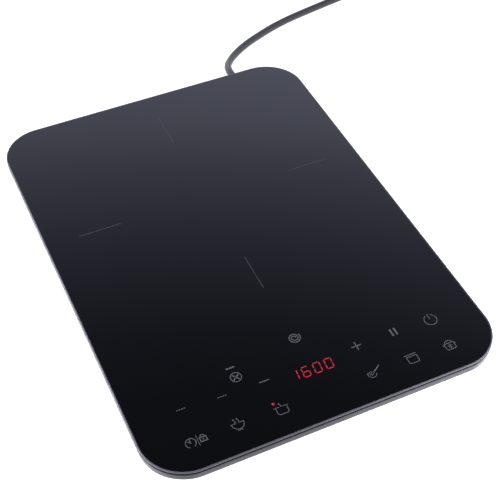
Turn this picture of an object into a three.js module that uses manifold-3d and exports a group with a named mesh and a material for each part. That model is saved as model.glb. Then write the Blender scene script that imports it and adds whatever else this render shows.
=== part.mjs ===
// A slim portable induction cooktop: a black glass plate on a silver frame, and a sloping vented tub below it.
// Inside are the coil module, the power board, a cooling fan and the touch control board. A mains cord leaves the back.
// Millimetres, +Z up, +Y towards the back. The origin is on the worktop under the middle of the case.
import * as THREE from "three";
import { mergeVertices } from "three/addons/utils/BufferGeometryUtils.js";
import Module from "manifold-3d";

const wasm = await Module();
wasm.setup();

// ---- Driving dimensions ----
const WIDTH = 280;
const DEPTH = 384;
const HEIGHT = 41;
const CORNER_RADIUS = 35;
const CORNER_STEPS = 7;
const GAP = 0.3; // between pieces that touch

const TRIM_WIDTH = 1.05; // the silver ring round the glass's top edge
const TRIM_HEIGHT = 1.2;
const GLASS_THICKNESS = 4;
const SEAM = 1.6; // between the ring and the frame, where the glass's own edge shows
const FRAME_BAND = 6; // height of the frame's visible side
const FRAME_WALL = 2.2;
const SEAL_THICKNESS = 0.25;
const LEDGE_WIDTH = 9;
const LEDGE_THICKNESS = 2;

const FOOT_HEIGHT = 4; // from the worktop to the tub's underside
const TUB_WALL = 2.2;
const TUB_SLOPE_RUN = 19; // how far the tub's side leans in on its way down
const ZONE_Y = 50; // the cooking zone's middle
const FAN_X = -64;
const FAN_Y = -84;
const CORD_EXIT_X = 98;
const CORD_EXIT_Z = 16;
const CORD_DIAMETER = 7;

// ---- Levels and insets that follow from them ----
const GLASS_INSET = TRIM_WIDTH + GAP;
const GLASS_BOTTOM = HEIGHT - GLASS_THICKNESS;
const FRAME_TOP = HEIGHT - TRIM_HEIGHT - SEAM;
const FRAME_BOTTOM = FRAME_TOP - FRAME_BAND;
const LEDGE_TOP = GLASS_BOTTOM - SEAL_THICKNESS;
const LEDGE_BOTTOM = LEDGE_TOP - LEDGE_THICKNESS;
const TUB_INSET = FRAME_WALL + GAP;
const TUB_TOP = LEDGE_BOTTOM - GAP;
const SLOPE_TOP = FRAME_BOTTOM - 0.25;
const SLOPE_BOTTOM = FOOT_HEIGHT + 1.2;
const SLOPE = TUB_SLOPE_RUN / (SLOPE_TOP - SLOPE_BOTTOM);
const FLOOR_INSET = TUB_INSET + TUB_SLOPE_RUN + 1.5;
const FLOOR_TOP = FOOT_HEIGHT + TUB_WALL;
const WALL_ACROSS = TUB_WALL * Math.hypot(1, SLOPE); // the sloping wall's thickness, measured level
const tubOuterInset = (z) => TUB_INSET + (SLOPE_TOP - z) * SLOPE;

// ---- Finishes ----
const finish = (color, roughness, metalness = 0) =>
  new THREE.MeshStandardMaterial({ color, roughness, metalness });
const BLACK_GLASS = finish(0x08080b, 0.05);
const SILVER_PAINT = finish(0x9c9ca8, 0.38, 0.6);
const TUB_PLASTIC = finish(0x2c2c30, 0.55);
const BLACK_RUBBER = finish(0x111112, 0.8);
const BLACK_PLASTIC = finish(0x18181a, 0.45);
const FORMER_PLASTIC = finish(0xd8d4c8, 0.6);
const COPPER_LITZ = finish(0xb5673a, 0.4, 0.8);
const FERRITE = finish(0x3a3a3c, 0.7);
const MICA = finish(0xb9a98c, 0.5);
const SILICONE_WHITE = finish(0xe8e8e4, 0.6);
const SPRING_STEEL = finish(0xb8b8bc, 0.3, 1);
const BOARD_GREEN = finish(0x1f5a38, 0.5);
const ALUMINIUM = finish(0xc8cacc, 0.35, 1);
const CAPACITOR_FILM = finish(0xb98a2c, 0.45);
const BRASS = finish(0xb08d57, 0.35, 1);
const RED_LENS = finish(0x3a0508, 0.3);
const CERAMIC_WHITE = finish(0xe6e2d8, 0.5);
const RIBBON_GREY = finish(0x8c8c90, 0.6);
const LEAD_BLACK = finish(0x1a1a1a, 0.5);
const LEAD_BROWN = finish(0x5a3420, 0.5);
const LEAD_BLUE = finish(0x274a8c, 0.5);

// ---- Solids ----
function solidOf(geometry) {
  const bare = geometry.clone();
  bare.deleteAttribute("normal");
  bare.deleteAttribute("uv");
  const merged = mergeVertices(bare, 1e-4);
  return new wasm.Manifold(
    new wasm.Mesh({
      numProp: 3,
      vertProperties: new Float32Array(merged.attributes.position.array),
      triVerts: new Uint32Array(merged.index.array),
    }),
  );
}

function geometryOf(solid) {
  const mesh = solid.getMesh();
  const geometry = new THREE.BufferGeometry();
  geometry.setAttribute("position", new THREE.BufferAttribute(mesh.vertProperties, 3));
  geometry.setIndex(new THREE.BufferAttribute(mesh.triVerts, 1));
  const flat = geometry.toNonIndexed();
  flat.computeVertexNormals();
  return flat;
}

const join = (first, ...rest) => rest.reduce((made, s) => made.add(s), first);
const cut = (body, ...tools) => tools.reduce((made, s) => made.subtract(s), body);

// A box standing on z, with its middle at x, y.
function block(width, depth, height, x = 0, y = 0, z = 0) {
  return solidOf(new THREE.BoxGeometry(width, depth, height).translate(x, y, z + height / 2));
}

// An upright cylinder or cone standing on z.
function post(radius, height, x = 0, y = 0, z = 0, sides = 16, topRadius = radius) {
  const made = new THREE.CylinderGeometry(topRadius, radius, height, sides);
  return solidOf(made.rotateX(Math.PI / 2).translate(x, y, z + height / 2));
}

// A cylinder lying along X or Y, with its middle at x, y, z.
function bar(radius, length, axis, x, y, z, sides = 16) {
  const made = new THREE.CylinderGeometry(radius, radius, length, sides);
  if (axis === "x") made.rotateZ(Math.PI / 2);
  return solidOf(made.translate(x, y, z));
}

// Turns a profile of [radius, height] points, which runs up the outside, about the Z axis.
function turned(profile, sides = 24) {
  const points = profile.map(([r, z]) => new THREE.Vector2(r, z));
  return solidOf(new THREE.LatheGeometry(points, sides).rotateX(Math.PI / 2));
}

const polygon = (points) => new THREE.Shape(points.map(([x, y]) => new THREE.Vector2(x, y)));

// A flat outline raised by height from z.
function plate(shape, height, z = 0) {
  const options = { depth: height, bevelEnabled: false, curveSegments: 8 };
  return solidOf(new THREE.ExtrudeGeometry(shape, options).translate(0, 0, z));
}

// A round wire, lead or cord of that many sides along a smooth line through points.
function tube(points, radius, steps, sides) {
  const line = new THREE.CatmullRomCurve3(
    points.map((p) => new THREE.Vector3(...p)),
    false,
    "centripetal",
  );
  return sweep(line, ring2d(radius, sides), steps);
}

const ring2d = (radius, sides) =>
  polygon(
    Array.from({ length: sides }, (_, i) => [
      radius * Math.cos((2 * Math.PI * i) / sides),
      radius * Math.sin((2 * Math.PI * i) / sides),
    ]),
  );

function sweep(line, shape, steps) {
  return solidOf(new THREE.ExtrudeGeometry(shape, { extrudePath: line, steps }));
}

// The case's outline moved in by inset: straight sides joined by quarter circles about the same centres.
function caseOutline(inset) {
  const radius = CORNER_RADIUS - inset;
  const cx = WIDTH / 2 - CORNER_RADIUS;
  const cy = DEPTH / 2 - CORNER_RADIUS;
  const corners = [
    [cx, -cy, -90],
    [cx, cy, 0],
    [-cx, cy, 90],
    [-cx, -cy, 180],
  ];
  return corners.flatMap(([x, y, from]) =>
    Array.from({ length: CORNER_STEPS + 1 }, (_, i) => {
      const angle = THREE.MathUtils.degToRad(from + (90 * i) / CORNER_STEPS);
      return [x + radius * Math.cos(angle), y + radius * Math.sin(angle)];
    }),
  );
}

// A closed solid whose sides pass through the case's outline at each [inset, z], from the lowest up.
function caseStack(levels) {
  const loops = levels.map(([inset, z]) => caseOutline(inset).map(([x, y]) => [x, y, z]));
  const count = loops[0].length;
  const vertices = loops.flat();
  const faces = [];
  loops.slice(1).forEach((_, level) => {
    for (let i = 0; i < count; i++) {
      const a = level * count + i;
      const b = level * count + ((i + 1) % count);
      faces.push(a, b, b + count, a, b + count, a + count);
    }
  });
  const top = (loops.length - 1) * count;
  for (let i = 1; i < count - 1; i++) {
    faces.push(0, i + 1, i, top, top + i, top + i + 1);
  }
  const geometry = new THREE.BufferGeometry();
  geometry.setAttribute("position", new THREE.Float32BufferAttribute(vertices.flat(), 3));
  geometry.setIndex(faces);
  return solidOf(geometry.toNonIndexed());
}

// ---- Assembly ----
const cooktop = new THREE.Group();

function module(x, y, z, parent = cooktop) {
  const group = new THREE.Group();
  group.position.set(x, y, z);
  parent.add(group);
  return group;
}

function piece(parent, name, solid, material, x = 0, y = 0, z = 0) {
  const mesh = new THREE.Mesh(geometryOf(solid), material);
  mesh.name = name;
  mesh.position.set(x, y, z);
  parent.add(mesh);
  return mesh;
}

// ---- Case ----
// Case screws: four in the corners and one in the middle of each long side, all the same distance from the edge.
const SCREW_INSET = 14;
const SCREW_SEAT = 26.4;
const POST_BOTTOM = 29.2;
const cornerReach = (CORNER_RADIUS - SCREW_INSET) * Math.SQRT1_2;
const screwX = WIDTH / 2 - CORNER_RADIUS + cornerReach;
const screwY = DEPTH / 2 - CORNER_RADIUS + cornerReach;
const SCREWS = {
  front_left: [-screwX, -screwY],
  front_right: [screwX, -screwY],
  rear_left: [-screwX, screwY],
  rear_right: [screwX, screwY],
  middle_left: [SCREW_INSET - WIDTH / 2, -14],
  middle_right: [WIDTH / 2 - SCREW_INSET, -14],
};

// The glass has a small ground chamfer all round its upper and lower edge.
function glassPlate() {
  const chamfer = 0.35;
  return caseStack([
    [GLASS_INSET + chamfer, 0],
    [GLASS_INSET, chamfer],
    [GLASS_INSET, GLASS_THICKNESS - chamfer],
    [GLASS_INSET + chamfer, GLASS_THICKNESS],
  ]);
}

// The silver ring bonded round the glass's top edge, with its outer corners eased.
function glassTrim() {
  const ease = 0.3;
  const outer = caseStack([
    [ease, 0],
    [0, ease],
    [0, TRIM_HEIGHT - ease],
    [ease, TRIM_HEIGHT],
  ]);
  const hole = caseStack([
    [TRIM_WIDTH, -1],
    [TRIM_WIDTH, TRIM_HEIGHT + 1],
  ]);
  return outer.subtract(hole);
}

function caseRing(outer, inner, z, height) {
  const over = 1;
  const hole = caseStack([
    [inner, z - over],
    [inner, z + height + over],
  ]);
  return caseStack([
    [outer, z],
    [outer, z + height],
  ]).subtract(hole);
}

// The frame: a visible band, a ledge that carries the glass, and a lobe with a screw post at each screw.
function upperFrame() {
  const over = 1;
  const band = caseStack([
    [0.8, FRAME_BOTTOM],
    [0, FRAME_BOTTOM + 0.8],
    [0, FRAME_TOP - 0.25],
    [0.25, FRAME_TOP],
  ]);
  const belowLedge = caseStack([
    [FRAME_WALL, FRAME_BOTTOM - over],
    [FRAME_WALL, LEDGE_BOTTOM],
  ]);
  const glassSeat = caseStack([
    [TRIM_WIDTH, LEDGE_TOP],
    [TRIM_WIDTH, FRAME_TOP + over],
  ]);
  const window = caseStack([
    [LEDGE_WIDTH, FRAME_BOTTOM - over],
    [LEDGE_WIDTH, FRAME_TOP + over],
  ]);
  const sealGroove = caseRing(2.6, 6.4, LEDGE_TOP - 0.5, 1);
  const places = Object.values(SCREWS);
  const lobes = places.map(([x, y]) => post(6, LEDGE_THICKNESS - 0.8, x, y, LEDGE_BOTTOM, 12));
  const posts = places.map(([x, y]) => post(3.6, LEDGE_BOTTOM - POST_BOTTOM + 0.5, x, y, POST_BOTTOM, 12));
  const pilots = places.map(([x, y]) => post(1.5, 6.2, x, y, POST_BOTTOM - 0.5, 8));
  return cut(join(cut(band, belowLedge, glassSeat, window, sealGroove), ...lobes, ...posts), ...pilots);
}

// Air slots cut straight through the tub: rows along its sloping back and right side, and a grille under the fan.
const SLOT = { width: 3.2, pitch: 8, low: 11, high: 27 };

function slotRow(count, from, place) {
  return Array.from({ length: count }, (_, i) => place(from + i * SLOT.pitch));
}

function airSlots() {
  const reach = 30;
  const tall = SLOT.high - SLOT.low;
  const backRow = slotRow(22, -100, (x) =>
    block(SLOT.width, reach, tall, x, DEPTH / 2 - reach / 2 - 1, SLOT.low),
  );
  const rightRow = slotRow(12, -132, (y) =>
    block(reach, SLOT.width, tall, WIDTH / 2 - reach / 2 - 1, y, SLOT.low),
  );
  return [...backRow, ...rightRow];
}

const GRILLE = { radius: 37, hub: 4, slot: 3.4, pitch: 7.6 };

function grilleSlots() {
  const rows = 4;
  const made = [];
  for (let row = -rows; row <= rows; row++) {
    const y = row * GRILLE.pitch;
    const half = Math.sqrt(GRILLE.radius ** 2 - y ** 2);
    for (const side of [-1, 1]) {
      const length = half - GRILLE.hub;
      const x = FAN_X + side * (GRILLE.hub + length / 2);
      made.push(block(length, GRILLE.slot, 6, x, FAN_Y + y, FOOT_HEIGHT - 2));
    }
  }
  return made;
}

// Places of the supports that rise from the tub's floor, shared with what stands on them.
const COIL_SPRING_RADIUS = 100;
const COIL_SPRING_ANGLES = [90, 210, 330];
const coilSupport = (angle, radius = COIL_SPRING_RADIUS) => {
  const a = THREE.MathUtils.degToRad(angle);
  return [radius * Math.cos(a), radius * Math.sin(a)];
};
const COIL_PIN_BASE = 15.5;
const POWER_BOARD = { x: 50, y: -84, width: 122, depth: 74, z: 10.5, thickness: 1.6 };
const CONTROL_BOARD = { y: -153, width: 222, depth: 46, z: 28, thickness: 1.6 };
const CLAMP = { y: 160, legs: 8, bottom: 11.5 };
const FAN_SIZE = 80;
const FOOT_X = 98;
const FOOT_Y = 148;
const FOOT_RADIUS = 9;

function tubSupports() {
  const b = POWER_BOARD;
  const c = CONTROL_BOARD;
  const rise = (z) => z - FLOOR_TOP + 1 - GAP;
  const made = COIL_SPRING_ANGLES.flatMap((angle) => {
    const [x, y] = coilSupport(angle);
    return [
      post(6, COIL_PIN_BASE - FLOOR_TOP + 1, x, ZONE_Y + y, FLOOR_TOP - 1, 12),
      post(2.6, 10, x, ZONE_Y + y, COIL_PIN_BASE - 1, 8),
    ];
  });
  for (const sx of [-1, 1]) {
    const clampX = CORD_EXIT_X + sx * CLAMP.legs;
    made.push(post(2.4, CLAMP.bottom - GAP - FLOOR_TOP + 1, clampX, CLAMP.y, FLOOR_TOP - 1, 8));
    for (const sy of [-1, 1]) {
      const px = b.x + sx * (b.width / 2 - 5);
      const py = b.y + sy * (b.depth / 2 - 5);
      made.push(post(3.5, rise(b.z), px, py, FLOOR_TOP - 1, 8));
      const cx = sx * (c.width / 2 - 12);
      made.push(post(3.5, rise(c.z), cx, c.y + sy * (c.depth / 2 - 10), FLOOR_TOP - 1, 8));
    }
  }
  return made;
}

const GLAND_FACE_Y = 187;

function baseTub() {
  const outer = caseStack([
    [FLOOR_INSET, FOOT_HEIGHT],
    [TUB_INSET + TUB_SLOPE_RUN, SLOPE_BOTTOM],
    [TUB_INSET, SLOPE_TOP],
    [TUB_INSET, TUB_TOP],
  ]);
  const wallFoot = SLOPE_TOP + (WALL_ACROSS - TUB_WALL) / SLOPE;
  const inner = caseStack([
    [tubOuterInset(FLOOR_TOP) + WALL_ACROSS, FLOOR_TOP],
    [TUB_INSET + TUB_WALL, wallFoot],
    [TUB_INSET + TUB_WALL, TUB_TOP + 1],
  ]);
  const places = Object.values(SCREWS);
  const wells = places.map(([x, y]) => post(5.2, POST_BOTTOM - GAP - 8, x, y, 8, 12).intersect(outer));
  const bores = places.flatMap(([x, y]) => [
    post(3.7, SCREW_SEAT, x, y, 0, 12),
    post(1.9, 10, x, y, SCREW_SEAT - 1, 8),
  ]);
  const glandPad = block(24, 22, 18, CORD_EXIT_X, GLAND_FACE_Y - 11, CORD_EXIT_Z - 9);
  const glandHole = bar(6.6, 40, "y", CORD_EXIT_X, GLAND_FACE_Y - 10, CORD_EXIT_Z);
  const shell = cut(join(outer, glandPad), inner.subtract(glandPad));
  const footBores = feetPlaces().map(([x, y]) => post(2.2, 8, x, y, FOOT_HEIGHT - 1, 8));
  const solid = join(shell, ...wells, ...tubSupports());
  return cut(solid, ...bores, glandHole, ...footBores, ...airSlots(), ...grilleSlots());
}

function feetPlaces() {
  return [
    [-FOOT_X, -FOOT_Y],
    [FOOT_X, -FOOT_Y],
    [-FOOT_X, FOOT_Y],
    [FOOT_X, FOOT_Y],
  ];
}

// A rubber foot: a domed pad with a stem that pushes up through the tub's floor.
function rubberFoot() {
  const top = FOOT_HEIGHT - GAP;
  const stem = 1.9;
  const profile = [
    [0, 0],
    [FOOT_RADIUS - 1, 0],
    [FOOT_RADIUS, 1.2],
    [FOOT_RADIUS - 0.6, top],
    [stem, top],
    [stem, FLOOR_TOP + GAP],
    [stem + 1.1, FLOOR_TOP + GAP + 0.3],
    [0.9, FLOOR_TOP + 2.6],
    [0, FLOOR_TOP + 2.6],
  ];
  return turned(profile, 16);
}

// A pan-head screw that points up, with a cross recess. Its origin is the underside of its head.
function caseScrew() {
  const shank = 7.6;
  const head = 2.2;
  const body = turned(
    [
      [0, -head],
      [2.2, -head],
      [2.9, -head + 0.7],
      [2.9, 0],
      [1.3, 0],
      [1.3, shank],
      [0.5, shank + 1],
      [0, shank + 1],
    ],
    10,
  );
  const recess = join(block(3.2, 0.8, 1.2), block(0.8, 3.2, 1.2));
  return body.subtract(recess.translate([0, 0, -head - 0.2]));
}

function buildCase() {
  piece(cooktop, "glass_plate", glassPlate(), BLACK_GLASS, 0, 0, GLASS_BOTTOM);
  piece(cooktop, "glass_trim", glassTrim(), SILVER_PAINT, 0, 0, HEIGHT - TRIM_HEIGHT);
  piece(cooktop, "glass_seal", caseRing(3, 6, LEDGE_TOP - 0.4, 0.5), BLACK_RUBBER);
  piece(cooktop, "upper_frame", upperFrame(), SILVER_PAINT);
  piece(cooktop, "base_tub", baseTub(), TUB_PLASTIC);
  const feet = ["foot_front_left", "foot_front_right", "foot_rear_left", "foot_rear_right"];
  feet.forEach((name, i) => piece(cooktop, name, rubberFoot(), BLACK_RUBBER, ...feetPlaces()[i]));
  for (const [place, [x, y]] of Object.entries(SCREWS)) {
    piece(cooktop, `case_screw_${place}`, caseScrew(), SPRING_STEEL, x, y, SCREW_SEAT - GAP);
  }
}

// ---- Coil module, under the cooking zone ----
const FORMER = { z: 28.3, thickness: 2, radius: 92 };
const WINDING = { inner: 24, outer: 87, z: 30.6, thickness: 5 };
const FERRITE_BAR = { length: 56, width: 14, thickness: 4.6, middle: 52 };
const SENSOR_CUP = { outer: 8, inner: 6.3, floor: 19.4 };

// The former: a thin disc with three spring ears, a cup for the sensor, and rails each side of a ferrite.
function coilFormer() {
  const disc = post(FORMER.radius, FORMER.thickness, 0, 0, 0, 40);
  const ears = COIL_SPRING_ANGLES.map((a) => {
    const neck = block(20, 14, FORMER.thickness, 90).rotate([0, 0, a]);
    return join(post(7, FORMER.thickness, ...coilSupport(a), 0, 12), neck);
  });
  const cup = post(SENSOR_CUP.outer, FORMER.z - SENSOR_CUP.floor + 1, 0, 0, SENSOR_CUP.floor - FORMER.z);
  const rails = Array.from({ length: 6 }, (_, i) => {
    const offset = FERRITE_BAR.width / 2 + GAP + 0.7;
    const pair = [-offset, offset].map((y) => block(44, 1.4, 4, FERRITE_BAR.middle, y, -3.5));
    return join(...pair).rotate([0, 0, 60 * i + 30]);
  });
  const pinHoles = COIL_SPRING_ANGLES.map((a) => post(3.2, 6, ...coilSupport(a), -2, 8));
  const cupBore = post(SENSOR_CUP.inner, 20, 0, 0, SENSOR_CUP.floor + 1.5 - FORMER.z);
  const windows = Array.from({ length: 6 }, (_, i) =>
    block(34, 11, 6, FERRITE_BAR.middle + 4, 0, -2).rotate([0, 0, 60 * i]),
  );
  return cut(join(disc, ...ears, cup, ...rails), ...pinHoles, cupBore, ...windows);
}

// The flat winding, as a ring with shallow grooves between its bands of wire.
function workCoil() {
  const rows = 4;
  const row = (WINDING.outer - WINDING.inner) / rows;
  const top = [];
  for (let i = rows; i > 0; i--) {
    top.push([WINDING.inner + i * row - 0.8, WINDING.thickness]);
    if (i > 1) top.push([WINDING.inner + (i - 1) * row, WINDING.thickness - 0.9]);
  }
  const profile = [
    [WINDING.inner, 0],
    [WINDING.outer, 0],
    [WINDING.outer, WINDING.thickness - 0.9],
    ...top,
    [WINDING.inner, WINDING.thickness - 0.9],
    [WINDING.inner, 0],
  ];
  return turned(profile, 36);
}

// A compression spring standing on z 0.
function spring(radius, wire, height, turns) {
  const pitch = (height - 2 * wire) / turns;
  class Helix extends THREE.Curve {
    getPoint(t, target = new THREE.Vector3()) {
      const angle = 2 * Math.PI * turns * t;
      return target.set(radius * Math.cos(angle), radius * Math.sin(angle), wire + pitch * turns * t);
    }
  }
  return sweep(new Helix(), ring2d(wire / 2, 4), turns * 9);
}

function buildCoilModule() {
  const zone = module(0, ZONE_Y, 0);
  piece(zone, "coil_former", coilFormer(), FORMER_PLASTIC, 0, 0, FORMER.z);
  piece(zone, "work_coil", workCoil(), COPPER_LITZ, 0, 0, WINDING.z);
  const mica = post(88, 0.6, 0, 0, 0, 36).subtract(post(9, 2, 0, 0, -0.7, 12));
  piece(zone, "mica_sheet", mica, MICA, 0, 0, WINDING.z + WINDING.thickness + GAP);
  const b = FERRITE_BAR;
  for (let i = 0; i < 6; i++) {
    const arm = new THREE.Group();
    arm.rotation.z = THREE.MathUtils.degToRad(60 * i + 30);
    zone.add(arm);
    const solid = block(b.length, b.width, b.thickness);
    piece(arm, `ferrite_bar_${i + 1}`, solid, FERRITE, b.middle, 0, FORMER.z - b.thickness - GAP);
  }
  const sensorHeight = 7.6;
  const sensor = [
    [0, 0],
    [4.6, 0],
    [5.6, 1],
    [5.6, sensorHeight - 1.2],
    [4.2, sensorHeight],
    [0, sensorHeight],
  ];
  const sensorBottom = GLASS_BOTTOM - GAP - sensorHeight;
  piece(zone, "temperature_sensor", turned(sensor, 16), SILICONE_WHITE, 0, 0, sensorBottom);
  const cupFloor = SENSOR_CUP.floor + 1.5;
  piece(zone, "sensor_spring", spring(4.4, 0.9, sensorBottom - cupFloor, 3), SPRING_STEEL, 0, 0, cupFloor);
  COIL_SPRING_ANGLES.forEach((angle, i) => {
    const [x, y] = coilSupport(angle);
    const tall = FORMER.z - COIL_PIN_BASE;
    piece(zone, `coil_spring_${i + 1}`, spring(4.6, 1.1, tall, 3), SPRING_STEEL, x, y, COIL_PIN_BASE);
  });
}

// ---- Power board ----
// A finned extrusion that stands on two legs over the switching transistor and the rectifier.
function heatsink(length, width, height) {
  const base = 4;
  const baseZ = 5.2;
  const fins = 8;
  const fin = 1.6;
  const step = (width - fin) / (fins - 1);
  const outline = [
    [-width / 2, 0],
    [-width / 2 + fin, 0],
    [-width / 2 + fin, baseZ],
    [width / 2 - fin, baseZ],
    [width / 2 - fin, 0],
    [width / 2, 0],
  ];
  for (let i = fins - 1; i >= 0; i--) {
    const left = -width / 2 + i * step;
    if (i < fins - 1) outline.push([left + fin, baseZ + base]);
    outline.push([left + fin, height], [left, height]);
    if (i > 0) outline.push([left, baseZ + base]);
  }
  const made = new THREE.ExtrudeGeometry(polygon(outline), { depth: length, bevelEnabled: false });
  made.rotateX(Math.PI / 2).rotateZ(Math.PI / 2).translate(-length / 2, 0, 0);
  return solidOf(made);
}

// A flat power package with three legs bent down to the board.
function powerPackage(width, depth, legs) {
  const body = block(width, depth, 4.4, 0, 0, 0.4);
  const pins = Array.from({ length: legs }, (_, i) => {
    const x = (i - (legs - 1) / 2) * 4.6;
    return join(block(1.2, 5, 0.8, x, -depth / 2 - 2, 2), block(1.2, 0.8, 2.4, x, -depth / 2 - 4.1, 0.4));
  });
  return join(body, ...pins);
}

const boxCapacitor = (width, depth, height) => {
  const lid = block(width - 2, depth - 2, 1, 0, 0, height - 0.5);
  return join(block(width, depth, height - 0.5), lid);
};

// A ring core wound with thick wire, lying flat.
function ringChoke() {
  const core = turned(
    [
      [5, 1],
      [12, 1],
      [12, 11],
      [5, 11],
      [5, 1],
    ],
    20,
  );
  const turn = block(9.6, 1.8, 12, 8.5).subtract(block(6.4, 3, 9.4, 8.5, 0, 1.3));
  const turns = Array.from({ length: 12 }, (_, i) => turn.rotate([0, 0, 30 * i]));
  return join(core, ...turns);
}

function transformer() {
  const core = block(19, 16, 5, 0, 0, 5.5);
  const limbs = [-1, 1].map((s) => block(4, 16, 14, s * 9, 0, 1));
  const bobbin = [block(13, 20, 1.4, 0, 0, 0), block(13, 20, 1.4, 0, 0, 14.4), block(10, 18, 14, 0, 0, 1)];
  return join(core, ...limbs, ...bobbin);
}

function fuseInHolder() {
  const caps = [-1, 1].map((s) => bar(3, 5, "x", s * 9, 0, 4, 12));
  const clips = [-1, 1].map((s) => block(3, 7, 3, s * 9, 0, 0));
  return join(bar(2.5, 18, "x", 0, 0, 4, 12), ...caps, ...clips);
}

// The terminal's place on the board, and half the distance between its two ways.
const TERMINAL = { x: 49.5, y: 5, depth: 11, way: 5 };

function terminalBlock() {
  const body = block(20, TERMINAL.depth, 12);
  const wells = [-1, 1].map((s) => post(2.6, 6, s * TERMINAL.way, 0, 8, 12));
  const mouths = [-1, 1].map((s) => bar(1.8, 8, "y", s * TERMINAL.way, 4, 4.5, 8));
  return cut(body, ...wells, ...mouths);
}

function buildPowerBoard() {
  const b = POWER_BOARD;
  const board = module(b.x, b.y, b.z);
  const holes = [-1, 1].flatMap((sx) =>
    [-1, 1].map((sy) => post(1.7, 4, sx * (b.width / 2 - 5), sy * (b.depth / 2 - 5), -1, 10)),
  );
  piece(board, "power_board", cut(block(b.width, b.depth, b.thickness), ...holes), BOARD_GREEN);
  const top = b.thickness + GAP;
  piece(board, "heatsink", heatsink(62, 42, 22), ALUMINIUM, -24, 12, top);
  piece(board, "igbt", powerPackage(16, 20, 3), BLACK_PLASTIC, -38, 12, top - GAP / 2);
  piece(board, "bridge_rectifier", powerPackage(20, 16, 4), BLACK_PLASTIC, -12, 12, top - GAP / 2);
  piece(board, "filter_choke", ringChoke(), COPPER_LITZ, 43, -22, top);
  piece(board, "bus_capacitor", boxCapacitor(29, 14, 22), CAPACITOR_FILM, 23.5, 28, top);
  piece(board, "resonance_capacitor", boxCapacitor(29, 14, 22), CAPACITOR_FILM, 23.5, 11, top);
  piece(board, "mains_filter_capacitor", boxCapacitor(22, 10, 16), CAPACITOR_FILM, 15, -24, top);
  piece(board, "standby_transformer", transformer(), BLACK_PLASTIC, -12, -24, top);
  piece(board, "fuse", fuseInHolder(), CERAMIC_WHITE, -39, -22, top);
  piece(board, "mains_terminal", terminalBlock(), CERAMIC_WHITE, TERMINAL.x, TERMINAL.y, top);
}

// ---- Cooling fan ----
const FAN_HEIGHT = 15;
const FAN_BORE = 37;
const ROTOR = { hub: 14, tip: 35.6, blades: 7 };

// The square frame: a round bore, four screw corners, and three struts that hold the motor's seat.
function fanFrame() {
  const radius = 6;
  const half = FAN_SIZE / 2;
  const corners = [
    [half - radius, -half + radius, -90],
    [half - radius, half - radius, 0],
    [-half + radius, half - radius, 90],
    [-half + radius, -half + radius, 180],
  ];
  const outline = polygon(
    corners.flatMap(([x, y, from]) =>
      [0, 30, 60, 90].map((turn) => {
        const angle = THREE.MathUtils.degToRad(from + turn);
        return [x + radius * Math.cos(angle), y + radius * Math.sin(angle)];
      }),
    ),
  );
  const bore = post(FAN_BORE, FAN_HEIGHT + 2, 0, 0, -1, 32);
  const holePlace = 35.5;
  const holes = [-1, 1].flatMap((sx) =>
    [-1, 1].map((sy) => post(2.1, FAN_HEIGHT + 2, sx * holePlace, sy * holePlace, -1, 10)),
  );
  const strut = block(FAN_BORE + 1, 4, 2, FAN_BORE / 2);
  const struts = [0, 120, 240].map((turn) => strut.rotate([0, 0, turn]));
  const seat = post(ROTOR.hub, 2, 0, 0, 0, 24);
  const bearingHole = post(3.3, 4, 0, 0, 1, 16);
  return cut(join(cut(plate(outline, FAN_HEIGHT), bore, ...holes), ...struts, seat), bearingHole);
}

// The rotor: a cup that covers the motor, with blades pitched round it.
function fanRotor() {
  const cup = turned(
    [
      [0, 10],
      [12.4, 10],
      [12.4, 2.6],
      [ROTOR.hub, 2.6],
      [ROTOR.hub, 11],
      [ROTOR.hub - 0.8, 11.8],
      [0, 11.8],
    ],
    28,
  );
  const middle = (ROTOR.hub + ROTOR.tip) / 2;
  const length = ROTOR.tip - ROTOR.hub + 1;
  const blades = Array.from({ length: ROTOR.blades }, (_, i) => {
    const flat = new THREE.BoxGeometry(length, 12.6, 1.2, 2, 1, 1).rotateX(THREE.MathUtils.degToRad(38));
    const place = flat.attributes.position;
    for (let v = 0; v < place.count; v++) {
      const along = place.getX(v) / length + 0.5;
      place.setY(v, place.getY(v) - 5 * along * along);
    }
    return solidOf(flat.translate(middle, 2, 7.2)).rotate([0, 0, (360 * i) / ROTOR.blades]);
  });
  const rim = post(ROTOR.tip, 20, 0, 0, -2, 40);
  return join(cup, ...blades.map((b) => b.subtract(post(ROTOR.hub - 1, 20, 0, 0, -2)).intersect(rim)));
}

function buildFan() {
  const fan = module(FAN_X, FAN_Y, FLOOR_TOP + GAP);
  piece(fan, "fan_frame", fanFrame(), BLACK_PLASTIC);
  const stator = post(11.4, 6.4, 0, 0, 0, 24).subtract(post(3.4, 10, 0, 0, -1));
  piece(fan, "fan_motor", stator, COPPER_LITZ, 0, 0, 2 + GAP);
  const bush = post(3, 7.6, 0, 0, 0).subtract(post(1.6, 12, 0, 0, -1));
  piece(fan, "fan_bearing", bush, BRASS, 0, 0, 1.2);
  piece(fan, "fan_shaft", post(1.5, 8.5), SPRING_STEEL, 0, 0, 1.3);
  piece(fan, "fan_rotor", fanRotor(), BLACK_PLASTIC);
}

// ---- Touch controls, close under the glass at the front ----
function buildControls() {
  const c = CONTROL_BOARD;
  const controls = module(0, c.y, c.z);
  piece(controls, "control_board", block(c.width, c.depth, c.thickness), BOARD_GREEN);
  const window = join(block(46, 15, 6), block(42, 12, 0.8, 0, 0, 5.8));
  piece(controls, "display_module", window, RED_LENS, -2, 4, c.thickness + 0.2);
}

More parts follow.
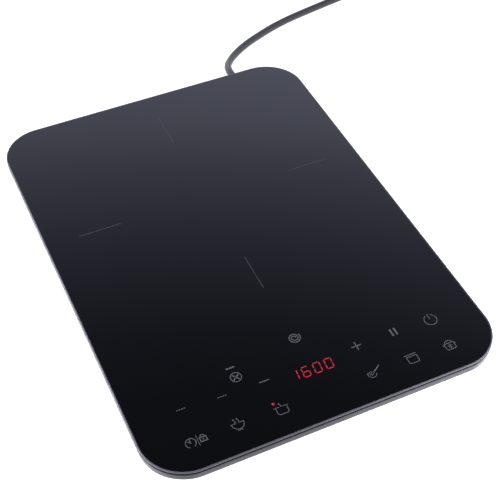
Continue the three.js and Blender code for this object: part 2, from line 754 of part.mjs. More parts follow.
// ---- Leads inside the case ----
function buildLeads() {
  const b = POWER_BOARD;
  const boardTop = b.z + b.thickness;
  const ribbon = polygon([
    [-6, -0.4],
    [6, -0.4],
    [6, 0.4],
    [-6, 0.4],
  ]);
  const ribbonLine = new THREE.CatmullRomCurve3([
    new THREE.Vector3(70, -142, 26.6),
    new THREE.Vector3(70, -136, 26.2),
    new THREE.Vector3(70, -129, 23.5),
    new THREE.Vector3(70, -123, 19.5),
    new THREE.Vector3(70, -119, 15.5),
    new THREE.Vector3(70, -118, boardTop + GAP + 0.4),
  ]);
  piece(cooktop, "ribbon_cable", sweep(ribbonLine, ribbon, 10), RIBBON_GREY);
  const inner = [
    [14, 30, 26],
    [20, 6, 22.4],
    [30, -18, 21.4],
    [39, -36, 19.4],
    [43, -46, 16.4],
    [44, -48.6, 14.4],
    [44, -48.8, boardTop + GAP],
  ];
  piece(cooktop, "coil_lead_inner", tube(inner, 1.5, 14, 6), LEAD_BLACK);
  const outer = [
    [64, -24, 28.4],
    [66, -34, 25.4],
    [61, -43, 20],
    [57, -48.6, 15.4],
    [56.6, -49, boardTop + GAP + 0.1],
  ];
  piece(cooktop, "coil_lead_outer", tube(outer, 1.5, 12, 6), LEAD_BLACK);
  const terminalX = b.x + TERMINAL.x;
  const terminalY = b.y + TERMINAL.y + TERMINAL.depth / 2;
  const mains = (side) => [
    [CORD_EXIT_X + 2.4 * side, 158, CORD_EXIT_Z + 0.5],
    [CORD_EXIT_X + 2 + 2.4 * side, 140, 13],
    [104 + 2.4 * side, 110, 10],
    [107 + 2.4 * side, 60, 10],
    [107 + 2.4 * side, 10, 10],
    [105 + 2.6 * side, -22, 12],
    [101 + 4 * side, -46, 16.4],
    [terminalX + TERMINAL.way * side, -62, 16.9],
    [terminalX + TERMINAL.way * side, terminalY + 1, 16.9],
  ];
  piece(cooktop, "mains_lead_live", tube(mains(1), 1.3, 26, 6), LEAD_BROWN);
  piece(cooktop, "mains_lead_neutral", tube(mains(-1), 1.3, 26, 6), LEAD_BLUE);
}

// ---- Mains cord ----
// The free stretch runs from the gland over the worktop and into a round coil of two layers: it spirals in on the
// worktop and out again on top. The cord leaves the top layer straight into its plug, which lies on its rim.
const GLAND_END_Y = 213;
const TURN_PITCH = 7.1;
const INNER_TURN = 28.4;
const LAYER_TURNS = 2.6; // each layer's spiral, from the inner turn's radius to the outer turn's
const OUTER_TURN = INNER_TURN + LAYER_TURNS * TURN_PITCH;
const COIL_MARGIN = CORD_DIAMETER / 2 + 0.2;
const COIL_OUTER = OUTER_TURN + COIL_MARGIN;
const COIL_INNER = INNER_TURN - COIL_MARGIN;
const COIL_MIDDLE = (COIL_OUTER + COIL_INNER) / 2;
const COIL_HEIGHT = TURN_PITCH + CORD_DIAMETER + 0.2;
const COIL_CENTRE = [291.9, 361.3];
const COIL_HEADING = 10; // the cord's direction into the coil, in degrees from +X
const PLUG_RADIUS = 18.5;
const PLUG_COLLAR = 11;
const PLUG_LENGTH = 62;
const PLUG_TILT = 8.7;
const TIE = { width: 9, thickness: 0.9, angle: 35, room: 0.9 };
const CORD_ROUTE = [
  [CORD_EXIT_X, GLAND_END_Y + GAP, CORD_EXIT_Z],
  [98.2, 221, 15.5],
  [99.6, 231, 13.2],
  [103.4, 242.5, 9.4],
  [109.5, 252.4, 6],
  [118, 261.6, 4.1],
  [129, 269.7, 3.6],
  [142, 276.8, 3.6],
  [157.4, 283.4, 3.6],
  [176, 290.4, 3.6],
  [198.3, 296.6, 3.6],
  [226, 302.1, 3.6],
  [254, 307.1, 3.6],
  [272.5, 310.4, 3.6],
];

function cordGland() {
  const profile = [
    [0, -20],
    [6.3, -20],
    [6.3, GAP],
    [9, GAP],
    [9, 2.4],
    [6.6, 3.4],
  ];
  const ribs = 4;
  const length = GLAND_END_Y - GLAND_FACE_Y;
  for (let i = 0; i < ribs; i++) {
    const z = 5.6 + i * 4.8;
    const r = 6.6 - i * 0.45;
    profile.push([r, z], [r, z + 2.4], [r - 0.9, z + 2.8], [r - 0.9, z + 4.4]);
  }
  profile.push([4, length], [0, length]);
  return turned(profile, 14);
}

function cordCoil() {
  const soft = 2.5;
  const ring = turned(
    [
      [COIL_INNER, soft],
      [COIL_INNER + soft, 0],
      [COIL_OUTER - soft, 0],
      [COIL_OUTER, soft],
      [COIL_OUTER, COIL_HEIGHT - soft],
      [COIL_OUTER - soft, COIL_HEIGHT],
      [COIL_INNER + soft, COIL_HEIGHT],
      [COIL_INNER, COIL_HEIGHT - soft],
      [COIL_INNER, soft],
    ],
    28,
  );
  const span = COIL_OUTER - COIL_INNER + 4;
  const room = block(span, TIE.width + 1, TIE.thickness + GAP + 1, COIL_MIDDLE, 0, -1);
  return cut(ring, room.rotate([0, 0, TIE.angle]));
}

// The tie: a flat strap that goes once round the turns of the coil.
function cordTie() {
  const inside = COIL_OUTER - COIL_INNER + 2 * TIE.room;
  const tall = COIL_HEIGHT + TIE.thickness + GAP;
  const band = block(inside + 2 * TIE.thickness, TIE.width, tall, COIL_MIDDLE);
  const room = block(inside, TIE.width + 2, tall - 2 * TIE.thickness, COIL_MIDDLE, 0, TIE.thickness);
  return band.subtract(room).rotate([0, 0, TIE.angle]);
}

// The plug's body along +Z, from its pin face to the cord: a collar, a waisted grip and a ribbed strain relief.
function plugBody() {
  const profile = [
    [0, 2.6],
    [13.4, 2.6],
    [13.4, 0],
    [PLUG_RADIUS - 1, 0],
    [PLUG_RADIUS, 1],
    [PLUG_RADIUS, PLUG_COLLAR],
    [15.6, 14],
    [13.6, 22],
    [13.2, 32],
    [11, 38],
    [7.2, 41],
  ];
  const ribs = 4;
  for (let i = 0; i < ribs; i++) {
    const z = 42.5 + i * 4.6;
    const r = 6.6 - i * 0.45;
    profile.push([r, z], [r, z + 2.2], [r - 0.9, z + 2.6], [r - 0.9, z + 4]);
  }
  profile.push([4, PLUG_LENGTH], [0, PLUG_LENGTH]);
  const keyways = [-1, 1].map((s) => block(6, 5, 12, 0, s * (PLUG_RADIUS - 1.2), -1));
  return cut(turned(profile, 18), ...keyways);
}

function plugPin() {
  return join(post(2.4, 17.3, 0, 0, -15, 10), post(1.4, 2, 0, 0, -17, 10, 2.4));
}

// The clamp that takes the pull on the cord: a bridge over it on two legs, each on a post of the tub.
function cordClamp() {
  const legs = [-1, 1].map((s) => block(4, 8, 8, s * CLAMP.legs));
  return cut(join(block(20, 8, 3, 0, 0, 7.5), ...legs), bar(4.2, 12, "y", 0, 0, 4.1, 10));
}

// The plug's rear end lies on the line along which the cord leaves the coil, just clear of the coil.
function plugPlace() {
  const heading = THREE.MathUtils.degToRad(COIL_HEADING);
  const tilt = THREE.MathUtils.degToRad(PLUG_TILT);
  const clear = Math.sqrt((COIL_OUTER + 4 + GAP) ** 2 - OUTER_TURN ** 2) + 0.6;
  const along = clear + PLUG_LENGTH * Math.cos(tilt);
  return {
    x: COIL_CENTRE[0] - OUTER_TURN * Math.sin(heading) - along * Math.cos(heading),
    y: COIL_CENTRE[1] + OUTER_TURN * Math.cos(heading) - along * Math.sin(heading),
    z: PLUG_RADIUS * Math.cos(tilt) + PLUG_COLLAR * Math.sin(tilt),
    heading,
    tilt,
  };
}

function buildCord() {
  const gland = module(CORD_EXIT_X, GLAND_FACE_Y, CORD_EXIT_Z);
  gland.rotation.x = -Math.PI / 2;
  piece(gland, "cord_gland", cordGland(), BLACK_RUBBER);
  piece(cooktop, "cord_clamp", cordClamp(), BLACK_PLASTIC, CORD_EXIT_X, CLAMP.y, CLAMP.bottom);
  piece(cooktop, "power_cord", tube(CORD_ROUTE, CORD_DIAMETER / 2, 26, 8), LEAD_BLACK);
  const coil = module(...COIL_CENTRE, 0);
  piece(coil, "cord_coil", cordCoil(), LEAD_BLACK);
  piece(coil, "cord_tie", cordTie(), BLACK_RUBBER);
  const place = plugPlace();
  const plug = module(place.x, place.y, place.z);
  plug.rotation.set(0, Math.PI / 2 + place.tilt, place.heading, "ZYX");
  piece(plug, "mains_plug", plugBody(), BLACK_PLASTIC);
  piece(plug, "plug_pin_left", plugPin(), BRASS, 0, -9.5, 0);
  piece(plug, "plug_pin_right", plugPin(), BRASS, 0, 9.5, 0);
}

buildCase();
buildCoilModule();
buildPowerBoard();
buildFan();
buildControls();
buildLeads();
buildCord();

export default cooktop;
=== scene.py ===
"""The looks of a slim portable induction cooktop, round its CAD frame. Metres, +Z up, +Y to the back."""

import math

import bmesh
import bpy
from mathutils import Matrix, Vector


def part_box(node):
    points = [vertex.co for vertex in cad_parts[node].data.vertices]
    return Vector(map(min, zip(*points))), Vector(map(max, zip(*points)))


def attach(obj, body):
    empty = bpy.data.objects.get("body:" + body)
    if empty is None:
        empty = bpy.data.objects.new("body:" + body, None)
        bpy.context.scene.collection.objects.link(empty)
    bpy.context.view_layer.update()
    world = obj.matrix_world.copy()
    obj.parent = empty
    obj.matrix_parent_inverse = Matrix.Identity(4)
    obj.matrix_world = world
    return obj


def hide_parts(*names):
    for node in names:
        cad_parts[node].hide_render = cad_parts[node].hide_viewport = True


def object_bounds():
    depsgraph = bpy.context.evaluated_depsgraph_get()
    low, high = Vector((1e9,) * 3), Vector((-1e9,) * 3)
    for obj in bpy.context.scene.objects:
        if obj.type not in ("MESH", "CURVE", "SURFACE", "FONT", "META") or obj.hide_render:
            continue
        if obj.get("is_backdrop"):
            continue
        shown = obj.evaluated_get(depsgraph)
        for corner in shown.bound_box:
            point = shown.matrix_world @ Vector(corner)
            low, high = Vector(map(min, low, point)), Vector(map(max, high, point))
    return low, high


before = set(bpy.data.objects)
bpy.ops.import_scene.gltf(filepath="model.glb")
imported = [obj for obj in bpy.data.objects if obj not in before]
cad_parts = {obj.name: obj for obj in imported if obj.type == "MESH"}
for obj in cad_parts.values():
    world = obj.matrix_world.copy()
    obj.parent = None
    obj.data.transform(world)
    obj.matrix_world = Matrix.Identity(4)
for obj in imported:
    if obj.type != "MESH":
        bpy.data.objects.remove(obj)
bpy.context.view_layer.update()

# ---- Camera ----
# It stands at the front left of the cooktop and looks down at the glass. The place is measured from the
# middle of the glass's top face, and the lens is for the default 36 mm sensor.
GLASS_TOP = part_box("glass_plate")[1].z
CAMERA_PLACE = Vector((-0.2436, -0.5739, 0.6446 + GLASS_TOP))
CAMERA_AZIMUTH = math.radians(-24.39)
CAMERA_ELEVATION = math.radians(46.72)
CAMERA_ROLL = math.radians(-0.24)
CAMERA_LENS = 80.11


def camera_turn(azimuth, elevation, roll):
    """The turn of a camera that stands at that azimuth and elevation and looks back at the origin."""
    back = Vector(
        (
            math.sin(azimuth) * math.cos(elevation),
            -math.cos(azimuth) * math.cos(elevation),
            math.sin(elevation),
        )
    )
    right = Vector((0, 0, 1)).cross(back).normalized()
    up = back.cross(right)
    level = Matrix((right, up, back)).transposed()
    return level @ Matrix.Rotation(roll, 3, "Z")


camera = bpy.data.objects.new("camera", bpy.data.cameras.new("camera"))
camera.data.lens = CAMERA_LENS
camera.matrix_world = Matrix.Translation(CAMERA_PLACE) @ camera_turn(
    CAMERA_AZIMUTH, CAMERA_ELEVATION, CAMERA_ROLL
).to_4x4()
bpy.context.scene.collection.objects.link(camera)
bpy.context.scene.camera = camera

# ---- Mains cord ----
# A round 7 mm rubber-sheathed cord, 1.55 m long. It leaves the strain relief straight back, drops to
# the worktop, swings to the right and is wound into a round coil: it spirals in on the worktop, climbs,
# and spirals out on top of itself to the plug. It is one smooth curve with a round section.
MM = 0.001
CORD_DIAMETER = 7 * MM
CORD_ROUTE = [
    (98, 213.3, 16), (98.2, 221, 15.5), (99.6, 231, 13.2), (103.4, 242.5, 9.4), (109.5, 252.4, 6),
    (118, 261.6, 4.1), (129, 269.7, 3.6), (142, 276.8, 3.6), (157.4, 283.4, 3.6), (176, 290.4, 3.6),
    (198.3, 296.6, 3.6), (226, 302.1, 3.6), (254, 307.1, 3.6), (272.5, 310.4, 3.6),
]
CORD_LEVEL = 3.6
TURN_PITCH = 7.1
INNER_TURN = 28.4
LAYER_TURNS = 2.6
COIL_TURNS = 5.5
OUTER_TURN = INNER_TURN + LAYER_TURNS * TURN_PITCH
COIL_CENTRE = (291.9, 361.3)
COIL_HEADING = math.radians(10)
CLIMB = (2.3, 3.2)  # the turns between which the cord rises to the upper layer
POINTS_A_TURN = 20


def eased(t):
    """A step from 0 to 1 that starts and ends gently."""
    t = min(max(t, 0), 1)
    return t * t * (3 - 2 * t)


def coil_point(turn):
    """A point of the coiled cord, that many turns after it enters the coil."""
    if turn < LAYER_TURNS:
        radius = OUTER_TURN - TURN_PITCH * turn
    else:
        radius = INNER_TURN + TURN_PITCH * max(0, turn - (COIL_TURNS - LAYER_TURNS))
    angle = COIL_HEADING - math.pi / 2 + 2 * math.pi * turn
    rise = TURN_PITCH * eased((turn - CLIMB[0]) / (CLIMB[1] - CLIMB[0]))
    return (
        COIL_CENTRE[0] + radius * math.cos(angle),
        COIL_CENTRE[1] + radius * math.sin(angle),
        CORD_LEVEL + rise,
    )


coil_steps = int(COIL_TURNS * POINTS_A_TURN)
coil_points = [coil_point(i / POINTS_A_TURN) for i in range(coil_steps + 1)]
PLUG_RADIUS = 18.5 * MM
PLUG_COLLAR = 11 * MM
PLUG_LENGTH = 62 * MM
PLUG_TILT = math.radians(8.7)
plug_axis = Vector(
    (
        math.cos(COIL_HEADING) * math.cos(PLUG_TILT),
        math.sin(COIL_HEADING) * math.cos(PLUG_TILT),
        -math.sin(PLUG_TILT),
    )
)
coil_exit = Vector(coil_points[-1]) * MM
ring_outside = (OUTER_TURN + CORD_DIAMETER / MM / 2 + 0.2) * MM
clear_of_ring = math.sqrt((ring_outside + 4.3 * MM) ** 2 - (OUTER_TURN * MM) ** 2) + 0.6 * MM
level_axis = Vector((math.cos(COIL_HEADING), math.sin(COIL_HEADING), 0))
plug_tail = coil_exit - clear_of_ring * level_axis
plug_face = plug_tail - PLUG_LENGTH * math.cos(PLUG_TILT) * level_axis
plug_face.z = PLUG_RADIUS * math.cos(PLUG_TILT) + PLUG_COLLAR * math.sin(PLUG_TILT)
plug_tail.z = plug_face.z - PLUG_LENGTH * math.sin(PLUG_TILT)
INTO_PLUG = 3 * MM
cord_points = [Vector(p) * MM for p in CORD_ROUTE + coil_points[1:]]
cord_points += [coil_exit.lerp(plug_tail, 0.5), plug_tail - INTO_PLUG * plug_axis]


def fitted(piece, slot, *nodes, body="case"):
    """Fixes a finished piece to its body in place of the nodes that it stands for. The slot is not used.
    """
    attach(piece, body)
    if nodes:
        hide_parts(*nodes)


def add_socket(tree, name, value=None, direction="INPUT", kind="Float"):
    """A new input or output of a node group."""
    socket = tree.interface.new_socket(name, in_out=direction, socket_type=f"NodeSocket{kind}")
    if value is not None:
        socket.default_value = value


def fill(node, inputs):
    """Sets a node's own inputs, given by name or number."""
    for name, value in inputs.items():
        node.inputs[name].default_value = value


def add_node(tree, kind, x=0, y=0, inputs=None, **settings):
    """A new node of a tree, with its inputs' values and its settings."""
    node = tree.nodes.new(kind)
    node.location = (x, y)
    for name, value in settings.items():
        setattr(node, name, value)
    fill(node, inputs or {})
    return node


def link(tree, *wires):
    """Links nodes. Each wire is (node, output, next node, input), with sockets by name or number."""
    for source, output, target, entry in wires:
        tree.links.new(source.outputs[output], target.inputs[entry])


def new_material(name, shader_inputs):
    """A new material with its shader's own inputs set, its node tree, and its shader."""
    material = bpy.data.materials.new(name)
    material.use_nodes = True
    shader = material.node_tree.nodes["Principled BSDF"]
    fill(shader, shader_inputs)
    return material, material.node_tree, shader


def grain_group():
    """Moulded or rubbed surface grain: a height for bump, and a mask of where hands have polished it."""
    tree = bpy.data.node_groups.new("surface grain", "ShaderNodeTree")
    add_socket(tree, "Grain Scale", 900.0)
    add_socket(tree, "Patch Scale", 14.0)
    add_socket(tree, "Height", direction="OUTPUT")
    add_socket(tree, "Patches", direction="OUTPUT")
    start = add_node(tree, "NodeGroupInput", -800)
    place = add_node(tree, "ShaderNodeTexCoord", -800, -200)
    fine = add_node(tree, "ShaderNodeTexNoise", -500, 0, {"Detail": 3})
    cells = add_node(tree, "ShaderNodeTexVoronoi", -500, -250, feature="SMOOTH_F1")
    patches = add_node(tree, "ShaderNodeTexNoise", -500, -500, {"Detail": 4})
    mix = add_node(tree, "ShaderNodeMath", -200, 0, {1: 0.6}, operation="MULTIPLY_ADD")
    finish = add_node(tree, "NodeGroupOutput", 100)
    link(
        tree,
        (place, "Object", fine, "Vector"),
        (place, "Object", cells, "Vector"),
        (place, "Object", patches, "Vector"),
        (start, "Grain Scale", fine, "Scale"),
        (start, "Grain Scale", cells, "Scale"),
        (start, "Patch Scale", patches, "Scale"),
        (fine, "Fac", mix, 0),
        (cells, "Distance", mix, 2),
        (mix, 0, finish, "Height"),
        (patches, "Fac", finish, "Patches"),
    )
    return tree


GRAIN = grain_group()


def grained(
    name,
    colour,
    roughness,
    metallic=0.0,
    grain=900.0,
    depth=0.02,
    patch=14.0,
    colour_spread=0.12,
    roughness_spread=0.08,
    specular=0.5,
):
    """A material with grain so many mm deep, whose colour and gloss drift from patch to patch."""
    material, tree, shader = new_material(name, {"Metallic": metallic, "Specular IOR Level": specular})
    scales = {"Grain Scale": grain, "Patch Scale": patch}
    surface = add_node(tree, "ShaderNodeGroup", -700, 0, scales, node_tree=GRAIN)
    tint_range = {"To Min": 1 - colour_spread, "To Max": 1 + colour_spread}
    tint = add_node(tree, "ShaderNodeMapRange", -450, 200, tint_range)
    paint = add_node(tree, "ShaderNodeVectorMath", -250, 200, {0: colour}, operation="SCALE")
    gloss_range = {"To Min": roughness - roughness_spread, "To Max": roughness + roughness_spread}
    gloss = add_node(tree, "ShaderNodeMapRange", -450, -50, gloss_range)
    bump = add_node(tree, "ShaderNodeBump", -250, -300, {"Distance": depth * MM})
    link(
        tree,
        (surface, "Patches", tint, "Value"),
        (surface, "Patches", gloss, "Value"),
        (tint, 0, paint, "Scale"),
        (paint, 0, shader, "Base Color"),
        (gloss, 0, shader, "Roughness"),
        (surface, "Height", bump, "Height"),
        (bump, 0, shader, "Normal"),
    )
    return material


CORD_SHEATH = grained("cord sheath", (0.018, 0.018, 0.019), 0.42, grain=1400, depth=0.01, patch=60)


def cord_curve(name, points, radius, material):
    """A round cord along one smooth curve through the points."""
    data = bpy.data.curves.new(name, "CURVE")
    data.dimensions = "3D"
    data.bevel_depth = radius
    data.bevel_resolution = 5
    data.resolution_u = 4
    data.use_fill_caps = True
    spline = data.splines.new("BEZIER")
    spline.bezier_points.add(len(points) - 1)
    for place, point in zip(points, spline.bezier_points):
        point.co = place
        point.handle_left_type = "AUTO"
        point.handle_right_type = "AUTO"
    data.materials.append(material)
    obj = bpy.data.objects.new(name, data)
    bpy.context.scene.collection.objects.link(obj)
    return obj


mains_cord = cord_curve("mains_cord", cord_points, CORD_DIAMETER / 2, CORD_SHEATH)
fitted(mains_cord, "cord_rubber", "power_cord", "cord_coil")

# ---- Plug ----
# A round two-pin earthed plug in one moulding with its ribbed strain relief, lying on its collar. Its
# body is a turned profile with two keyways cut in the collar.


def mesh_object(name, mesh, material=None, sharp=32):
    """An object for a finished bmesh, smooth where its faces meet at less than so many degrees."""
    data = bpy.data.meshes.new(name)
    mesh.to_mesh(data)
    mesh.free()
    data.polygons.foreach_set("use_smooth", [True] * len(data.polygons))
    data.set_sharp_from_angle(angle=math.radians(sharp))
    if material:
        data.materials.append(material)
    obj = bpy.data.objects.new(name, data)
    bpy.context.scene.collection.objects.link(obj)
    return obj


def turned(profile, steps, place=Matrix.Identity(4), closed=False):
    """Turns [radius, height] points about the Z axis. An open profile starts and ends on the axis."""
    mesh = bmesh.new()
    rings = []
    for radius, height in profile:
        if radius < 1e-9:
            rings.append([mesh.verts.new((0, 0, height))])
            continue
        turns = [2 * math.pi * i / steps for i in range(steps)]
        ring = [mesh.verts.new((radius * math.cos(a), radius * math.sin(a), height)) for a in turns]
        rings.append(ring)
    pairs = list(zip(rings, rings[1:]))
    if closed:
        pairs.append((rings[-1], rings[0]))
    for low, high in pairs:
        for i in range(steps):
            j = (i + 1) % steps
            a, b = low[i % len(low)], low[j % len(low)]
            c, d = high[j % len(high)], high[i % len(high)]
            corners = [v for k, v in enumerate((a, b, c, d)) if v not in (a, b, c, d)[:k]]
            if len(corners) > 2:
                mesh.faces.new(corners)
    bmesh.ops.recalc_face_normals(mesh, faces=mesh.faces)
    mesh.transform(place)
    return mesh


def along(start, axis):
    """The place of a turned piece whose foot is at start and whose height runs along axis."""
    turn = axis.to_track_quat("Z", "Y").to_matrix().to_4x4()
    return Matrix.Translation(start) @ turn


def rounded(points, radius, steps=4, closed=False):
    """A profile with its inner corners rounded. Each point is (r, z) or (r, z, its own radius)."""
    made = []
    count = len(points)
    for i, (r, z, *own) in enumerate(points):
        size = own[0] if own else radius
        if not closed and i in (0, count - 1) or size <= 0:
            made.append((r, z))
            continue
        here = Vector((r, z))
        before = Vector(points[i - 1][:2]) - here
        after = Vector(points[(i + 1) % count][:2]) - here
        reach = min(size, before.length * 0.45, after.length * 0.45)
        first = here + before.normalized() * reach
        last = here + after.normalized() * reach
        for k in range(steps + 1):
            t = k / steps
            point = first.lerp(here, t).lerp(here.lerp(last, t), t)
            made.append((point.x, point.y))
    return made


def metres(points):
    """Profile points given in mm, in metres."""
    return [tuple(value * MM for value in point) for point in points]


def cut_away(obj, cutters, operation="DIFFERENCE"):
    """Cuts closed objects out of obj, or joins them to it, and removes them."""
    for cutter in cutters:
        modifier = obj.modifiers.new("cut", "BOOLEAN")
        modifier.object = cutter
        modifier.operation = operation
        modifier.solver = "EXACT"
    made_plain(obj)
    for cutter in cutters:
        bpy.data.objects.remove(cutter)
    return obj


def made_plain(obj, sharp=32):
    """Puts obj's modifiers into its mesh."""
    evaluated = obj.evaluated_get(bpy.context.evaluated_depsgraph_get())
    data = bpy.data.meshes.new_from_object(evaluated)
    obj.modifiers.clear()
    obj.data = data
    data.polygons.foreach_set("use_smooth", [True] * len(data.polygons))
    data.set_sharp_from_angle(angle=math.radians(sharp))
    return obj


def box_object(low, high, place=Matrix.Identity(4), bevel=0.0):
    """A box between two corners, with softened edges."""
    mesh = bmesh.new()
    bmesh.ops.create_cube(mesh, size=1)
    size = Vector(high) - Vector(low)
    middle = (Vector(high) + Vector(low)) / 2
    mesh.transform(Matrix.Translation(middle) @ Matrix.Diagonal((*size, 1)))
    if bevel:
        bmesh.ops.bevel(
            mesh, geom=mesh.edges, offset=bevel, segments=2, profile=0.7, affect="EDGES"
        )
    mesh.transform(place)
    return mesh_object("box", mesh)


def turned_object(name, profile, steps, place, material=None, closed=False, sharp=32):
    """A turned profile as an object."""
    return mesh_object(name, turned(profile, steps, place, closed), material, sharp)


def ribbed_relief(start, length, radius, end_radius, ribs, groove=0.9 * MM):
    """The [radius, height] points of a tapered strain relief with square ribs."""
    step = length / ribs
    profile = []
    for i in range(ribs):
        z = start + i * step
        r = radius + (end_radius + groove - radius) * i / max(1, ribs - 1)
        profile += [(r, z), (r, z + 0.55 * step)]
        profile += [(r - groove, z + 0.62 * step), (r - groove, z + 0.93 * step)]
    return profile


plug_profile = [
    (0, 2.6 * MM),
    (13.4 * MM, 2.6 * MM),
    (13.4 * MM, 0),
    (PLUG_RADIUS, 0, 1.2 * MM),
    (PLUG_RADIUS, PLUG_COLLAR, 1.5 * MM),
    (15.6 * MM, 14 * MM),
    (13.6 * MM, 22 * MM, 5 * MM),
    (13.2 * MM, 32 * MM, 4 * MM),
    (11 * MM, 38 * MM, 3 * MM),
    (7.2 * MM, 41 * MM, 1 * MM),
]
plug_profile += ribbed_relief(42 * MM, 17 * MM, 6.6 * MM, 4.4 * MM, 5)
plug_profile += [(4.6 * MM, 60 * MM), (4.2 * MM, PLUG_LENGTH), (0, PLUG_LENGTH)]
PLUG_PLASTIC = grained("plug moulding", (0.02, 0.02, 0.021), 0.38, grain=1100, depth=0.015, patch=40)
plug_place = along(plug_face, plug_axis)
plug_profile = rounded(plug_profile, 0.35 * MM, 3)
plug = turned_object("plug_moulding", plug_profile, 64, plug_place, PLUG_PLASTIC)
KEYWAY = 5 * MM
KEYWAY_REACH = PLUG_RADIUS + 2 * MM
keyways = [
    box_object(
        (-KEYWAY / 2, side * KEYWAY_REACH - 3 * MM, -1 * MM),
        (KEYWAY / 2, side * KEYWAY_REACH + 3 * MM, PLUG_COLLAR + 1 * MM),
        plug_place,
        0.6 * MM,
    )
    for side in (-1, 1)
]
cut_away(plug, keyways)
fitted(plug, "plug_plastic", "mains_plug")

# The two pins: nickel-plated brass, turned with a rounded tip.
PIN_METAL = grained(
    "nickel plate", (0.62, 0.60, 0.55), 0.22, metallic=1.0, grain=300, depth=0.004, patch=120,
)
PIN_RADIUS = 2.4 * MM
PIN_REACH = 17 * MM
pin_profile = rounded(
    [(0, 2.3 * MM), (PIN_RADIUS, 2.3 * MM, 0), (PIN_RADIUS, -PIN_REACH, 1.6 * MM), (0, -PIN_REACH)], 0, 6
)
for side, node in ((-1, "plug_pin_left"), (1, "plug_pin_right")):
    shift = plug_place @ Matrix.Translation((0, side * 9.5 * MM, 0))
    pin = turned_object(f"pin_{node[9:]}", pin_profile, 32, shift, PIN_METAL, sharp=50)
    fitted(pin, "brass_plated", node)

# ---- Strain relief ----
# The black rubber moulding that the cord passes through in the tub's back wall: a flange against the
# wall, then four tapering ribs. Its inner end is hidden in the wall's pad.
GLAND_FACE = Vector((98 * MM, 187 * MM, 16 * MM))
GLAND_LENGTH = 26 * MM
GLAND_RUBBER = grained("gland rubber", (0.016, 0.016, 0.017), 0.5, grain=1200, depth=0.02, patch=70)
gland_profile = [
    (0, -20 * MM),
    (6.3 * MM, -20 * MM),
    (6.3 * MM, 0.3 * MM),
    (9 * MM, 0.3 * MM),
    (9 * MM, 2.4 * MM),
    (6.6 * MM, 3.4 * MM),
]
gland_profile += ribbed_relief(5.2 * MM, 19 * MM, 6.6 * MM, 4.6 * MM, 4)
gland_profile += [(4.6 * MM, 25 * MM), (4.1 * MM, GLAND_LENGTH), (0, GLAND_LENGTH)]
gland_place = along(GLAND_FACE, Vector((0, 1, 0)))
gland_profile = rounded(gland_profile, 0.35 * MM, 3)
gland = turned_object("strain_relief", gland_profile, 48, gland_place, GLAND_RUBBER)
fitted(gland, "black_rubber", "cord_gland")

# ---- Cord tie ----
# A flat rubber strap once round the coiled turns, with a raised button where its end is pressed
# through.
TIE_RUBBER = grained("tie rubber", (0.024, 0.024, 0.025), 0.55, grain=1500, depth=0.02, patch=90)


def copied(node, name, material, bevel=0.0, segments=2):
    """A finer copy of a CAD node's solid: its edges are rounded and its faces are smooth."""
    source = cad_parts[node]
    mesh = bmesh.new()
    mesh.from_mesh(source.data)
    mesh.transform(source.matrix_world)
    bmesh.ops.remove_doubles(mesh, verts=mesh.verts, dist=0.00001)
    bmesh.ops.dissolve_limit(mesh, angle_limit=math.radians(1), verts=mesh.verts, edges=mesh.edges)
    obj = mesh_object(name, mesh, material)
    if bevel:
        modifier = obj.modifiers.new("edges", "BEVEL")
        modifier.width = bevel
        modifier.segments = segments
        modifier.limit_method = "ANGLE"
        modifier.angle_limit = math.radians(35)
        modifier.use_clamp_overlap = True
        made_plain(obj)
    return obj


cord_tie = copied("cord_tie", "tie_strap", TIE_RUBBER, 0.25 * MM)
TIE_ANGLE = math.radians(35)
TIE_REACH = 37.6
TIE_TOP = 15
button_x = COIL_CENTRE[0] + TIE_REACH * math.cos(TIE_ANGLE)
button_y = COIL_CENTRE[1] + TIE_REACH * math.sin(TIE_ANGLE)
button_place = Matrix.Translation(Vector((button_x, button_y, TIE_TOP)) * MM)
button_profile = rounded(metres([(0, -0.4), (2.6, -0.4), (2.6, 1.1), (0, 1.1)]), 0.5 * MM, 3)
button = turned_object("button", button_profile, 32, button_place)
cut_away(cord_tie, [button], "UNION")
fitted(cord_tie, "black_rubber", "cord_tie")

# ---- Floor and studio light ----
# A plain white floor under a room of soft light: bright walls to about 38 degrees above the floor, then
# dark towards the ceiling, and a little brighter on the window's side. The lamps don't show in the
# glass.
floor_mesh = bmesh.new()
bmesh.ops.create_grid(floor_mesh, x_segments=1, y_segments=1, size=6)
floor_paper, paper_tree, paper_shader = new_material(
    "white paper",
    {
        "Base Color": (0.35, 0.346, 0.33, 1),
        "Roughness": 0.9,
        "Specular IOR Level": 0.1,
        "Emission Color": (1, 0.99, 0.95, 1),
        "Emission Strength": 0.85,
    },
)
paper_noise = add_node(paper_tree, "ShaderNodeTexNoise", -500, 0, {"Scale": 400})
paper_bump = add_node(paper_tree, "ShaderNodeBump", -250, 0, {"Distance": 0.00002})
link(
    paper_tree,
    (paper_noise, "Fac", paper_bump, "Height"),
    (paper_bump, 0, paper_shader, "Normal"),
)
floor = mesh_object("floor", floor_mesh, floor_paper)
floor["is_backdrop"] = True


def soft_lamp(name, place, aim, size, watts):
    """A square lamp at place that shines towards aim and shows in nothing."""
    lamp = bpy.data.objects.new(name, bpy.data.lights.new(name, "AREA"))
    lamp.data.shape = "SQUARE"
    lamp.data.size = size
    lamp.data.energy = watts
    lamp.visible_glossy = False
    lamp.visible_camera = False
    place = Vector(place)
    lamp.matrix_world = along(place, place - Vector(aim))
    bpy.context.scene.collection.objects.link(lamp)
    lamp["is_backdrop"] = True


soft_lamp("lamp_overhead", (0.1, 0.3, 2.2), (0, 0.1, 0), 2.6, 48)
soft_lamp("lamp_right", (0.34, -0.36, 0.15), (0.14, -0.19, 0.03), 0.15, 7)
soft_lamp("lamp_left", (-0.42, 0.02, 0.14), (-0.14, 0.0, 0.03), 0.25, 11)

